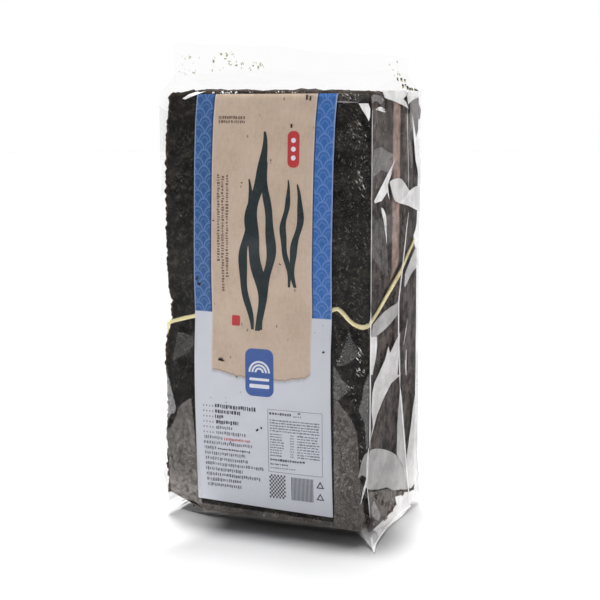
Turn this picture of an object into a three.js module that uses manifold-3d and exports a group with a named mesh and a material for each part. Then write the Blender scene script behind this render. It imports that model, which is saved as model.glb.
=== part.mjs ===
// A clear film bag standing upright round a stack of folded nori sheets,
// with a long paper label on its front and a thin straw tie round its waist.
// Millimetres, +Z up, the label faces -Y, and the bag stands on z = 0.
import * as THREE from "three";
import { mergeVertices } from "three/addons/utils/BufferGeometryUtils.js";
import { ParametricGeometry } from "three/addons/geometries/ParametricGeometry.js";
import Module from "manifold-3d";

// Walls of the bag: the filled block that the film stands round.
const BAG_WIDTH = 104;
const BAG_DEPTH = 71;
const WALL_HEIGHT = 203;
const FOOT_HEIGHT = 6;
const FRONT_BULGE = 3;
const EDGE_ROUND = 3.5;
const LEFT_SLACK = 4;
const WAIST_PINCH = 1.2;
const WAIST_SPREAD = 14;

// Side gussets: a crease down each side that stands out a little, behind the middle on the
// right and well forward on the left. The ridge of the top slants between them.
const GUSSET_SHARE_RIGHT = 0.2;
const GUSSET_SHARE_LEFT = -0.5;
const GUSSET_STAND = 1.5;

// Closed top: two slopes rising to a standing flap, higher at its left end.
const ROOF_RISE = 8;
const FLAP_RISE = 11;
const FLAP_TILT = 4;
const FLAP_HALF_SHARE = 0.05;
const FLAP_WAVE = 2.5;
const FLAP_WAVES = 1.5;
const FLAP_FLARE = 2.5;

// Base: a flat patch of folded film, and an ear pulled out at each corner.
// The ears at the front right and back left are large, the other two are folded short.
const FOOT_SHARE_X = 0.85;
const FOOT_SHARE_Y = 0.75;
const EAR_OUT_X = 8;
const EAR_OUT_Y = 14;
const EAR_LIFT = 0.4;
const EAR_REACH_X = 14;
const EAR_REACH_Y = 42;
const EAR_REACH_Z = 26;
const EAR_SHARPNESS = 1.5;
const SHORT_EAR_SHARE = 0.25;

// Paper label on the front, a little left of the middle.
const LABEL_WIDTH = 72.4;
const LABEL_LEFT_SHIFT = 1.5;
const LABEL_BOTTOM = 10.6;
const LABEL_TOP = 206;
const LABEL_THICK = 0.6;
const LABEL_SINK = 0.15;

// Straw tie, with its height above the floor at each corner of the bag.
const TIE_WIDTH = 2.4;
const TIE_THICK = 1;
const TIE_SINK = 1.75;
const TIE_FRONT_LEFT = 96.5;
const TIE_FRONT_RIGHT = 100.5;
const TIE_BACK_RIGHT = 136.5;
const TIE_BACK_LEFT = 80;
const TIE_FRONT_ARCH = 8;
const TIE_HUMP = 4;
const TIE_HUMP_X = 38.5;
const TIE_HUMP_SPREAD = 6;
const TIE_LEFT_SLIP = 9;
const TIE_SLIP_LENGTH = 8;
const TIE_SLIP_START = 40;
const TIE_CORNER_ROUND = 5;

// Clearance between touching pieces, and how far the cutters stand outside the film.
const GAP = 0.3;
const CUT_PROUD = 1;
const GROOVE_PROUD = 3.5;

// Fineness of the faceted surfaces, closer near the gusset crease and the wall ends.
const BAG_ROWS_X = 14;
const BAG_ROWS_Y = 12;
const BAG_ROWS_Z = 28;
const LABEL_ROWS_X = 6;
const LABEL_ROWS_Z = 22;
const TIE_STEPS = 76;
const TIE_SIDES = 8;
const DEPTH_SPREAD_POWER = 1.9;
const END_TOLERANCE = 1e-6;

const halfWidth = BAG_WIDTH / 2;
const halfDepth = BAG_DEPTH / 2;
const halfWall = WALL_HEIGHT / 2;
const wallMiddle = FOOT_HEIGHT + halfWall;
const shoulder = FOOT_HEIGHT + WALL_HEIGHT;

const { clamp, smoothstep, lerp } = THREE.MathUtils;

// Height of the tie above the floor at a place round the bag. It slips down past the left corner.
function tieHeight(x, y) {
  const u = clamp(x / halfWidth, -1, 1);
  const across = u / 2 + 0.5;
  const along = clamp(y / halfDepth, -1, 1) / 2 + 0.5;
  const arch = TIE_FRONT_ARCH * (1 - u * u);
  const hump = TIE_HUMP * Math.exp(-(((x - TIE_HUMP_X) / TIE_HUMP_SPREAD) ** 2));
  const front = lerp(TIE_FRONT_LEFT, TIE_FRONT_RIGHT, across) + arch + hump;
  const back = lerp(TIE_BACK_LEFT, TIE_BACK_RIGHT, across);
  const pastCorner = smoothstep(y, -halfDepth, -halfDepth + TIE_SLIP_LENGTH);
  const onLeft = smoothstep(-x, lerp(TIE_SLIP_START, -TIE_SLIP_START, along), halfWidth);
  return lerp(front, back, along) - TIE_LEFT_SLIP * pastCorner * onLeft;
}

// How far the front and back walls draw in round the tie.
function waist(x, y, z) {
  const off = (z - tieHeight(x, y)) / WAIST_SPREAD;
  return WAIST_PINCH * Math.exp(-off * off);
}

// How far the front and back walls fall away at their rounded top and bottom edges.
function edgeFall(z) {
  const past = Math.max(0, Math.abs(z - wallMiddle) - (halfWall - EDGE_ROUND));
  return EDGE_ROUND - Math.sqrt(Math.max(0, EDGE_ROUND * EDGE_ROUND - past * past));
}

// Half depth of the bag at a place on its front (side -1) or back (side 1).
function halfDepthAt(x, z, side) {
  const u = clamp(x / halfWidth, -1, 1);
  const w = clamp((z - wallMiddle) / halfWall, -1, 1);
  const bulge = FRONT_BULGE * (1 - u * u) * (1 - w * w);
  return halfDepth + bulge - edgeFall(z) - waist(x, side * halfDepth, z);
}

// Where the line between the two gusset creases lies, from the left side (-1) to the right (1).
function gussetShare(widthShare) {
  return lerp(GUSSET_SHARE_LEFT, GUSSET_SHARE_RIGHT, widthShare / 2 + 0.5);
}

// Nearness to that line: 1 on it, falling to 0 at the front and back.
function nearGusset(widthShare, depthShare) {
  const share = gussetShare(widthShare);
  const off = depthShare - share;
  return 1 - Math.abs(off) / (1 - share * Math.sign(off));
}

// Half width of the bag on its right (side 1) or left (side -1), with the gusset crease.
function halfWidthAt(depthShare, side) {
  const slack = side < 0 ? LEFT_SLACK : 0;
  return halfWidth + slack + GUSSET_STAND * nearGusset(Math.sign(side), depthShare);
}

// Height of the closed top: two slopes with the flap standing between them.
function topHeight(widthShare, depthShare) {
  const near = nearGusset(widthShare, depthShare);
  if (near > 1 - FLAP_HALF_SHARE) {
    return shoulder + ROOF_RISE + FLAP_RISE - FLAP_TILT * widthShare;
  }
  return shoulder + ROOF_RISE * near;
}

// Height of the base: flat in the middle, rising to the walls at its edges.
function baseHeight(widthShare, depthShare) {
  const pastX = (Math.abs(widthShare) - FOOT_SHARE_X) / (1 - FOOT_SHARE_X);
  const pastY = (Math.abs(depthShare) - FOOT_SHARE_Y) / (1 - FOOT_SHARE_Y);
  return FOOT_HEIGHT * smoothstep(Math.max(pastX, pastY), 0, 1);
}

// How strongly a place is pulled to the tip of the nearest ear.
function earPull(widthShare, depthShare, z) {
  const nearX = clamp(1 - ((1 - Math.abs(widthShare)) * halfWidth) / EAR_REACH_X, 0, 1);
  const nearY = clamp(1 - ((1 - Math.abs(depthShare)) * halfDepth) / EAR_REACH_Y, 0, 1);
  const nearZ = clamp(1 - (z - FOOT_HEIGHT) / EAR_REACH_Z, 0, 1);
  return (nearX * nearY * nearZ) ** EAR_SHARPNESS;
}

// Moves a corner of a two-unit cube's grid to its place on the bag.
function placeOnBag(point) {
  const widthShare = point.x;
  const spread = Math.sign(point.y) * Math.abs(point.y) ** DEPTH_SPREAD_POWER;
  const depthShare = spread + gussetShare(widthShare) * (1 - Math.abs(spread));
  const wallZ = wallMiddle + halfWall * Math.sin((point.z * Math.PI) / 2);
  const atTop = point.z > 1 - END_TOLERANCE;
  const atBase = point.z < -1 + END_TOLERANCE;
  const x = widthShare * halfWidthAt(depthShare, widthShare);
  const y = depthShare * halfDepthAt(x, wallZ, Math.sign(depthShare));
  const earShare = x * y < 0 ? 1 : SHORT_EAR_SHARE;
  const tip = new THREE.Vector3(
    Math.sign(x) * (halfWidth + EAR_OUT_X * earShare),
    Math.sign(y) * (halfDepth + EAR_OUT_Y * earShare),
    EAR_LIFT,
  );
  point.set(x, y, wallZ);
  if (atTop) {
    point.z = topHeight(widthShare, depthShare);
    const lean = smoothstep(point.z, shoulder + ROOF_RISE, shoulder + ROOF_RISE + FLAP_RISE);
    point.x += lean * FLAP_FLARE * widthShare;
    point.y += lean * FLAP_WAVE * Math.sin(FLAP_WAVES * Math.PI * widthShare);
  }
  if (atBase) {
    point.z = baseHeight(widthShare, depthShare);
  }
  return point.lerp(tip, earPull(widthShare, depthShare, point.z));
}

// Applies a placing rule to every vertex of a geometry.
function reshape(geometry, rule) {
  const position = geometry.attributes.position;
  const point = new THREE.Vector3();
  for (let i = 0; i < position.count; i += 1) {
    point.fromBufferAttribute(position, i);
    rule(point);
    position.setXYZ(i, point.x, point.y, point.z);
  }
  return geometry;
}

// A plate lying in the front of the bag, grown sideways and between two depths below the film.
function frontPlate(grow, outer, inner) {
  const width = LABEL_WIDTH + 2 * grow;
  const bottom = LABEL_BOTTOM - grow;
  const height = LABEL_TOP + grow - bottom;
  const plate = new THREE.BoxGeometry(width, 1, height, LABEL_ROWS_X, 1, LABEL_ROWS_Z);
  return reshape(plate, (point) => {
    const depth = lerp(outer, inner, point.y + 0.5);
    point.x -= LABEL_LEFT_SHIFT;
    point.z += bottom + height / 2;
    point.y = depth - halfDepthAt(point.x, point.z, -1);
  });
}

// The plan of the tie: a rounded rectangle the size of the bag.
function tiePlan() {
  const plan = new THREE.Path();
  const flatX = halfWidth - TIE_CORNER_ROUND;
  const flatY = halfDepth - TIE_CORNER_ROUND;
  const quarter = Math.PI / 2;
  plan.moveTo(-flatX, -halfDepth);
  plan.lineTo(flatX, -halfDepth);
  plan.absarc(flatX, -flatY, TIE_CORNER_ROUND, -quarter, 0);
  plan.lineTo(halfWidth, flatY);
  plan.absarc(flatX, flatY, TIE_CORNER_ROUND, 0, quarter);
  plan.lineTo(-flatX, halfDepth);
  plan.absarc(-flatX, flatY, TIE_CORNER_ROUND, quarter, 2 * quarter);
  plan.lineTo(-halfWidth, -flatY);
  plan.absarc(-flatX, -flatY, TIE_CORNER_ROUND, 2 * quarter, 3 * quarter);
  return plan;
}

const plan = tiePlan();

// A point on the tie's route, under the film by the tie's depth.
function tieRoute(along) {
  const spot = plan.getPointAt(along % 1);
  const depthShare = spot.y / halfDepth;
  const z = tieHeight(spot.x, spot.y);
  const x = (spot.x / halfWidth) * (halfWidthAt(depthShare, spot.x) - TIE_SINK);
  const y = depthShare * (halfDepthAt(x, z, Math.sign(spot.y)) - TIE_SINK);
  return new THREE.Vector3(x, y, z);
}

// A closed band along the tie's route, between an inner and an outer face.
// The corner rule gives the reach of its section in each direction.
function tieBand(inner, outer, halfBroad, corner) {
  const halfStep = 0.5 / TIE_STEPS;
  const upward = new THREE.Vector3(0, 0, 1);
  return new ParametricGeometry(
    (along, round, target) => {
      const ahead = tieRoute(along + halfStep).sub(tieRoute(along + 1 - halfStep)).normalize();
      const outward = ahead.clone().cross(upward).normalize();
      const broad = outward.clone().cross(ahead).normalize();
      const angle = (round % 1) * 2 * Math.PI;
      const reach = corner(Math.cos(angle), Math.sin(angle));
      target.copy(tieRoute(along));
      target.addScaledVector(outward, lerp(inner, outer, (1 + reach * Math.cos(angle)) / 2));
      target.addScaledVector(broad, halfBroad * reach * Math.sin(angle));
    },
    TIE_STEPS,
    TIE_SIDES,
  );
}

const roundSection = () => 1;
const squareSection = (a, b) => 1 / Math.max(Math.abs(a), Math.abs(b));

// Joins the shared corners of a geometry so that it is one closed surface.
function weld(geometry) {
  geometry.deleteAttribute("normal");
  geometry.deleteAttribute("uv");
  return mergeVertices(geometry, END_TOLERANCE);
}

const wasm = await Module();
wasm.setup();

function toSolid(geometry) {
  const welded = weld(geometry);
  const vertProperties = new Float32Array(welded.attributes.position.array);
  const triVerts = new Uint32Array(welded.index.array);
  return new wasm.Manifold(new wasm.Mesh({ numProp: 3, vertProperties, triVerts }));
}

function toGeometry(solid) {
  const mesh = solid.getMesh();
  const geometry = new THREE.BufferGeometry();
  geometry.setAttribute("position", new THREE.BufferAttribute(mesh.vertProperties, 3));
  geometry.setIndex(new THREE.BufferAttribute(mesh.triVerts, 1));
  geometry.computeVertexNormals();
  return geometry;
}

const block = reshape(new THREE.BoxGeometry(2, 2, 2, BAG_ROWS_X, BAG_ROWS_Y, BAG_ROWS_Z), placeOnBag);
const labelPlate = frontPlate(0, LABEL_SINK, LABEL_SINK + LABEL_THICK);
const labelRecess = frontPlate(GAP, -CUT_PROUD, LABEL_SINK + LABEL_THICK + GAP);
const tieLoop = tieBand(-TIE_THICK / 2, TIE_THICK / 2, TIE_WIDTH / 2, roundSection);
const tieGroove = tieBand(
  -TIE_THICK / 2 - GAP,
  TIE_SINK + GROOVE_PROUD,
  TIE_WIDTH / 2 + GAP,
  squareSection,
);
const bagSolid = toSolid(block).subtract(toSolid(labelRecess)).subtract(toSolid(tieGroove));

const nori = new THREE.MeshStandardMaterial({ color: "#2b2b27", roughness: 0.35, metalness: 0 });
const paper = new THREE.MeshStandardMaterial({ color: "#c4bdb4", roughness: 0.8, metalness: 0 });
const straw = new THREE.MeshStandardMaterial({ color: "#e6d892", roughness: 0.7, metalness: 0 });

const bag = new THREE.Mesh(toGeometry(bagSolid), nori);
bag.name = "bag";
const label = new THREE.Mesh(weld(labelPlate), paper);
label.name = "label";
const tie = new THREE.Mesh(toGeometry(toSolid(tieLoop)), straw);
tie.name = "tie";

const pack = new THREE.Group();
pack.name = "nori_pack";
pack.add(bag, label, tie);

export default pack;
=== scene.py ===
# %% [markdown]
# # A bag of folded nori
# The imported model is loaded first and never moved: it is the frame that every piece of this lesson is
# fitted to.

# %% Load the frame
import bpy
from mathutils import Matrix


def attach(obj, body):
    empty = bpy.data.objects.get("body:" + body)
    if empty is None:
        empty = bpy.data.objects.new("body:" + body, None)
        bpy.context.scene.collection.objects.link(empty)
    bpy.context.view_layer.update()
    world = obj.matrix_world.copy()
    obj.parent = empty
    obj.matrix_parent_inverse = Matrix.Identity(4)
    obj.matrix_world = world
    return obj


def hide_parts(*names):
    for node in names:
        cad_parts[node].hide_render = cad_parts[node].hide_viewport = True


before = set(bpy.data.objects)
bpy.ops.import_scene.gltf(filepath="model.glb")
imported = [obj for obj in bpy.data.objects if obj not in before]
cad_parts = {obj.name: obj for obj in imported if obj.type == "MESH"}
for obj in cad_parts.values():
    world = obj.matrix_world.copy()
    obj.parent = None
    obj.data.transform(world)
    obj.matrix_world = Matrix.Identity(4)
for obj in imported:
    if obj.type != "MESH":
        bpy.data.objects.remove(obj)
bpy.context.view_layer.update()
print("frame nodes:", sorted(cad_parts))

# %% [markdown]
# The pack is drawn in millimetres, because that is how its maker would measure it, and turned into Blender's
# metres only when a mesh is finished. The walls of the bag follow a few named sizes: how wide and deep the
# filled bag is, how far its front swells, and how its film falls away at the top and bottom edges.

# %% Sizes of the bag
import math
import random

import bmesh
import bpy
from mathutils import Vector, noise

MM = 0.001
HALF_WIDTH = 52.0
HALF_DEPTH = 35.5
FOOT = 2.5
WALL = 206.5
SHOULDER = FOOT + WALL
WALL_MIDDLE = FOOT + WALL / 2
FRONT_BULGE = 3.0
EDGE_ROUND = 3.5
LEFT_SLACK = 4.0


def between(value, low, high):
    return max(low, min(high, value))


def ease(value, low, high):
    t = between((value - low) / (high - low), 0.0, 1.0)
    return t * t * (3 - 2 * t)


def blend(a, b, t):
    return a + (b - a) * t


print("filled bag in mm:", 2 * HALF_WIDTH, 2 * HALF_DEPTH, WALL)

# %% [markdown]
# A straw tie goes round the waist of the stack and rises towards the back. Its height has to be known before
# the walls are shaped, because the film draws in along it. A small arch across the front, one hump beside the
# label and a slip down past the left corner are what the photograph shows.

# %% Height of the tie and the waist it makes
TIE_FRONT_LEFT, TIE_FRONT_RIGHT = 96.5, 100.5
TIE_BACK_LEFT, TIE_BACK_RIGHT = 80.0, 136.5
TIE_ARCH = 8.0
TIE_HUMP, TIE_HUMP_X, TIE_HUMP_SPREAD = 4.0, 38.5, 6.0
TIE_SLIP, TIE_SLIP_LENGTH, TIE_SLIP_START = 12.0, 4.0, 40.0
WAIST_PINCH, WAIST_SPREAD = 1.2, 14.0


def tie_height(x, y):
    u = between(x / HALF_WIDTH, -1, 1)
    along = between(y / HALF_DEPTH, -1, 1) / 2 + 0.5
    hump = TIE_HUMP * math.exp(-(((x - TIE_HUMP_X) / TIE_HUMP_SPREAD) ** 2))
    front = blend(TIE_FRONT_LEFT, TIE_FRONT_RIGHT, u / 2 + 0.5) + TIE_ARCH * (1 - u * u) + hump
    back = blend(TIE_BACK_LEFT, TIE_BACK_RIGHT, u / 2 + 0.5)
    past_corner = ease(y, -HALF_DEPTH, TIE_SLIP_LENGTH - HALF_DEPTH)
    on_left = ease(-x, blend(TIE_SLIP_START, -TIE_SLIP_START, along), HALF_WIDTH)
    return blend(front, back, along) - TIE_SLIP * past_corner * on_left


def waist(x, y, z):
    return WAIST_PINCH * math.exp(-(((z - tie_height(x, y)) / WAIST_SPREAD) ** 2))


print("tie at the front left and back right:", TIE_FRONT_LEFT, TIE_BACK_RIGHT)

# %% [markdown]
# Two rules give the walls. The front and back swell in the middle and round off at the top and bottom. Each
# side has one gusset crease that stands out slightly, behind the middle on the right and well forward on the
# left, and the left wall hangs a little slack. A share of -1 is the front of the bag and 1 is its back.

# %% The walls
GUSSET_LEFT, GUSSET_RIGHT = -0.5, 0.2
GUSSET_STAND = 1.5


def half_depth_at(x, z, side):
    u = between(x / HALF_WIDTH, -1, 1)
    w = between((z - WALL_MIDDLE) / (WALL / 2), -1, 1)
    past = max(0.0, abs(z - WALL_MIDDLE) - (WALL / 2 - EDGE_ROUND))
    fall = EDGE_ROUND - math.sqrt(max(0.0, EDGE_ROUND**2 - past**2))
    return HALF_DEPTH + FRONT_BULGE * (1 - u * u) * (1 - w * w) - fall - waist(x, side * HALF_DEPTH, z)


def gusset_share(width_share):
    return blend(GUSSET_LEFT, GUSSET_RIGHT, width_share / 2 + 0.5)


def near_gusset(width_share, share):
    crease = gusset_share(width_share)
    off = share - crease
    return 1 - abs(off) / (1 - crease * math.copysign(1, off))


def half_width_at(share, side):
    slack = LEFT_SLACK if side < 0 else 0.0
    return HALF_WIDTH + slack + GUSSET_STAND * near_gusset(math.copysign(1, side), share)


print("half depth at the middle:", round(half_depth_at(0, WALL_MIDDLE, -1), 2))

# %% [markdown]
# Every piece ends the same way: its bmesh becomes a mesh, gets a finish and rides on the one body of this
# row.
# A block with an even grid on its six faces is the start of the film and of each bundle of sheets; moving its
# vertices by a rule is the same as sculpting, but repeatable.


def grid_block(cuts):
    bm = bmesh.new()
    bmesh.ops.create_cube(bm, size=2)
    for axis, count in enumerate(cuts):
        along = [e for e in bm.edges if abs(e.verts[0].co[axis] - e.verts[1].co[axis]) > 1e-6]
        bmesh.ops.subdivide_edges(bm, edges=along, cuts=count, use_grid_fill=True)
    return bm


def make_piece(name, bm, finish, sharp=None):
    bmesh.ops.scale(bm, vec=(MM, MM, MM), verts=bm.verts)
    mesh = bpy.data.meshes.new(name)
    bm.to_mesh(mesh)
    bm.free()
    mesh.shade_smooth()
    if sharp is not None:
        mesh.set_sharp_from_angle(angle=math.radians(sharp))
    mesh.materials.append(finish)
    piece = bpy.data.objects.new(name, mesh)
    bpy.context.scene.collection.objects.link(piece)
    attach(piece, "root")
    print(name, "faces:", len(mesh.polygons))
    return piece


# %% [markdown]
# The finishes are node materials. A few short helpers keep them readable: one makes a material with its main
# shader, one adds a node and sets its inputs, one does arithmetic between sockets and one mixes two colours.
# A glaze lays a tone over another one where a mask is bright, like a thin coat of paint.

# %% Helpers for finishes: nodes


def new_finish(name):
    finish = bpy.data.materials.new(name)
    finish.use_nodes = True
    tree = finish.node_tree
    return finish, tree, tree.nodes["Principled BSDF"]


def add(tree, kind, settings=None, **inputs):
    made = tree.nodes.new(kind)
    for key, value in (settings or {}).items():
        setattr(made, key, value)
    for key, value in inputs.items():
        wire(tree, value, made.inputs[key])
    return made


def wire(tree, value, socket):
    if isinstance(value, bpy.types.NodeSocket):
        tree.links.new(value, socket)
    else:
        socket.default_value = value


def calc(tree, operation, *values):
    made = tree.nodes.new("ShaderNodeMath")
    made.operation = operation
    for value, socket in zip(values, made.inputs):
        wire(tree, value, socket)
    return made.outputs[0]


def tint(tree, share, first, second):
    made = tree.nodes.new("ShaderNodeMix")
    made.data_type = "RGBA"
    wire(tree, share, made.inputs["Factor"])
    for value, socket in ((first, "A"), (second, "B")):
        ends = [s for s in made.inputs if s.name == socket and s.type == "RGBA"]
        wire(tree, value, ends[0])
    return [s for s in made.outputs if s.type == "RGBA"][0]


def glaze(tree, under, mask, strength, tone):
    return tint(tree, calc(tree, "MULTIPLY", mask, strength), under, tone)


print("node helpers ready")

# %% [markdown]
# Patterns come from noise, placed by Object coordinates, which here are simply the row's own metres. A ramp
# turns a noise into a mask with soft edges, a bump turns it into a surface, and colours are given in the
# bytes that a picture has and turned into the linear values that the shader works with.

# %% Helpers for finishes: patterns and colours


def ramp(tree, value, low, high):
    made = add(tree, "ShaderNodeMapRange", {"interpolation_type": "SMOOTHSTEP"}, Value=value)
    made.inputs["From Min"].default_value = low
    made.inputs["From Max"].default_value = high
    return made.outputs[0]


def place(tree, scale=(1, 1, 1)):
    where = add(tree, "ShaderNodeTexCoord").outputs["Object"]
    return add(tree, "ShaderNodeMapping", Vector=where, Scale=scale).outputs[0]


def speckle(tree, where, scale, detail=4.0, rough=0.6):
    made = add(tree, "ShaderNodeTexNoise", Vector=where, Scale=scale, Detail=detail, Roughness=rough)
    return made.outputs["Fac"]


def bumped(tree, height, strength, distance):
    made = add(tree, "ShaderNodeBump", Height=height, Strength=strength, Distance=distance)
    return made.outputs["Normal"]


def rgb(red, green, blue):
    def linear(byte):
        share = byte / 255
        return share / 12.92 if share <= 0.04045 else ((share + 0.055) / 1.055) ** 2.4

    return (linear(red), linear(green), linear(blue), 1.0)


print("pattern helpers ready")

# %% [markdown]
# Nori is pressed from chopped seaweed, so a sheet is never one colour: black-green blotches carry a felt of
# brown fibres that lie in every direction. The pale specks here and there are painted glints, small
# highlights of the film over the sheets. Both are calmer towards the left of the pack, so a ramp across it
# weakens them there.

# %% Nori finish: felt
CALM_FROM, CALM_TO, CALM_SHARE = -0.045, 0.0, 0.4
nori, tree, shader = new_finish("nori_sheet")
everywhere = place(tree)


def fibres(turn, scale, low, high):
    where = add(tree, "ShaderNodeTexCoord").outputs["Object"]
    laid = add(tree, "ShaderNodeMapping", {"vector_type": "TEXTURE"}, Vector=where, Rotation=turn,
               Scale=(1, 1, 4))
    return ramp(tree, speckle(tree, laid.outputs[0], scale, 2.0, 0.5), low, high)


def patches(scale, low, high):
    return ramp(tree, speckle(tree, everywhere, scale, 3.0), low, high)


blotches = speckle(tree, everywhere, 60.0, 6.0, 0.7)
grit = speckle(tree, everywhere, 400.0, 5.0, 0.72)
leaning = fibres((0.3, 0.55, 0.0), 1300.0, 0.58, 0.74)
falling = fibres((-0.5, -0.9, 0.3), 1200.0, 0.59, 0.75)
lying = fibres((1.2, 1.5, 0.2), 1400.0, 0.6, 0.76)
felt = calc(tree, "MAXIMUM", calc(tree, "MULTIPLY", leaning, patches(48.0, 0.42, 0.62)),
            calc(tree, "MULTIPLY", falling, patches(61.0, 0.46, 0.64)))
felt = calc(tree, "MAXIMUM", felt, calc(tree, "MULTIPLY", lying, patches(55.0, 0.5, 0.66)))
sideways = add(tree, "ShaderNodeSeparateXYZ", Vector=everywhere).outputs["X"]
towards_right = ramp(tree, sideways, CALM_FROM, CALM_TO)
rougher_right = calc(tree, "MULTIPLY_ADD", towards_right, 1 - CALM_SHARE, CALM_SHARE)
felt = calc(tree, "MULTIPLY", felt, rougher_right)
body = tint(tree, ramp(tree, blotches, 0.34, 0.7), rgb(9, 9, 9), rgb(37, 34, 31))
thin_places = ramp(tree, speckle(tree, everywhere, 210.0, 3.0), 0.5, 0.7)
body = glaze(tree, body, thin_places, 0.55, rgb(71, 64, 57))
body = glaze(tree, body, ramp(tree, grit, 0.5, 0.74), 0.65, rgb(85, 77, 70))
body = glaze(tree, body, felt, 0.7, rgb(142, 132, 119))
# Painted glints: pale specks that stand for small highlights of the film over the sheets.
painted_glints = calc(tree, "MULTIPLY", ramp(tree, speckle(tree, everywhere, 1500.0, 1.0), 0.68, 0.75),
              patches(44.0, 0.5, 0.62))
painted_glints = calc(tree, "MULTIPLY", painted_glints, rougher_right)
body = glaze(tree, body, painted_glints, 0.5, rgb(206, 194, 170))
print("felt wired")

# %% [markdown]
# The loose edges dry out browner and the folds are a warm grey, and one bundle shows paler folds. Three
# attributes that the stack carries say where these places are, and lay their tones over the felt. Roughness
# and bump follow the same blotches, so that thick places shine a little more than thin ones.

# %% Nori finish: edges and folds


def marked(name):
    return add(tree, "ShaderNodeAttribute", {"attribute_name": name}).outputs["Fac"]


leaves = speckle(tree, place(tree, (1.0, 2.6, 0.35)), 560.0, 4.0)
edge_tone = tint(tree, ramp(tree, leaves, 0.35, 0.68), rgb(36, 28, 25), rgb(128, 101, 82))
sheets = speckle(tree, place(tree, (0.4, 2.6, 0.3)), 420.0, 3.0)
mottle = speckle(tree, everywhere, 190.0, 5.0, 0.7)
fold_tone = tint(tree, ramp(tree, mottle, 0.36, 0.64), rgb(30, 26, 25), rgb(106, 97, 94))
fold_tone = glaze(tree, fold_tone, ramp(tree, sheets, 0.5, 0.72), 0.12, rgb(124, 108, 100))
fold_tone = glaze(tree, fold_tone, ramp(tree, grit, 0.46, 0.7), 0.5, rgb(122, 111, 106))
fold_tone = glaze(tree, fold_tone, felt, 0.5, rgb(142, 124, 108))
fold_tone = glaze(tree, fold_tone, ramp(tree, blotches, 0.52, 0.38), 0.6, rgb(24, 20, 19))
pale_tone = tint(tree, ramp(tree, mottle, 0.3, 0.7), rgb(138, 116, 106), rgb(192, 168, 156))
colour = tint(tree, marked("edge"), body, edge_tone)
colour = tint(tree, marked("fold"), colour, fold_tone)
colour = tint(tree, marked("pale"), colour, pale_tone)
wire(tree, colour, shader.inputs["Base Color"])
wire(tree, calc(tree, "MULTIPLY_ADD", blotches, 0.3, 0.42), shader.inputs["Roughness"])
shader.inputs["Specular IOR Level"].default_value = 0.2
relief = calc(tree, "ADD", calc(tree, "MULTIPLY", blotches, 0.6), calc(tree, "MULTIPLY", felt, 0.4))
wire(tree, bumped(tree, relief, 0.7, 0.0007), shader.inputs["Normal"])
print(nori.name, "nodes:", len(tree.nodes))

# %% [markdown]
# The stack is a hundred sheets folded in half, laid in bundles. Each bundle starts as a block with a grid on
# its faces. Its right end is rounded into a fold, and its left, top and bottom ends are pulled in and out
# layer by layer, so that the loose edges show as leaves. Three tables give the middle line of those edges in
# millimetres. The left edge bellies out above and below the tie, its lower corner is worn off, and the straw
# bites a little into the right side.

# %% Shape of one bundle
BUNDLES = 9
LAYERS = 9
SINK_FRONT, SINK_BACK = 2.3, 2.3
STACK_RIGHT = 51.4
FOLD_ROUND = 0.15
LEFT_EDGE = (
    (7, -54.8), (20, -55.3), (43, -55.4), (55, -54.6), (70, -55.2), (85, -55.9), (89, -55.2), (93, -54.2),
    (97, -52.9), (107, -52.0), (114, -53.3), (124, -54.0), (146, -54.3), (174, -54.2), (190, -53.3),
    (198, -52.2), (208, -51.4),
)
BOTTOM_EDGE = ((-56, 4.8), (-20, 4.7), (20, 4.5), (52, 3.4))
WORN_CORNER_X, WORN_CORNER_LENGTH, WORN_CORNER_RISE = -34.5, 19.0, 7.1
TOP_EDGE = ((-56, 204.4), (-52, 205.6), (-43.6, 207.8), (-27, 208.8), (16, 208.2), (52, 207.2))
BITE, BITE_SPREAD = 1.7, 4.0
FRINGE = 1.9
TOP_LEAF, BOTTOM_LEAF = 0.6, 0.5
TOP_RAGGED, BOTTOM_RAGGED, LEFT_RAGGED = 1.5, 0.5, 0.9
FOLD_UNEVEN = 0.25

draw = random.Random(7)


def leaf_offsets(reach):
    return [[draw.uniform(-reach, reach) for _ in range(LAYERS + 1)] for _ in range(BUNDLES)]


left_offsets, top_offsets, bottom_offsets = leaf_offsets(0.4), leaf_offsets(0.7), leaf_offsets(0.7)
fold_offsets = [draw.uniform(-0.1, 0.1) for _ in range(BUNDLES)]


def along_table(table, value):
    for (z0, x0), (z1, x1) in zip(table, table[1:]):
        if value <= z1:
            return blend(x0, x1, between((value - z0) / (z1 - z0), 0, 1))
    return table[-1][1]


def ragged(a, b, seed):
    slow = noise.noise(Vector((a * 0.11, b * 1.7, seed)))
    quick = noise.noise(Vector((a * 0.55, b * 2.3, seed)))
    return 0.7 * slow + 0.9 * quick * max(0.0, slow + 0.5)


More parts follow.
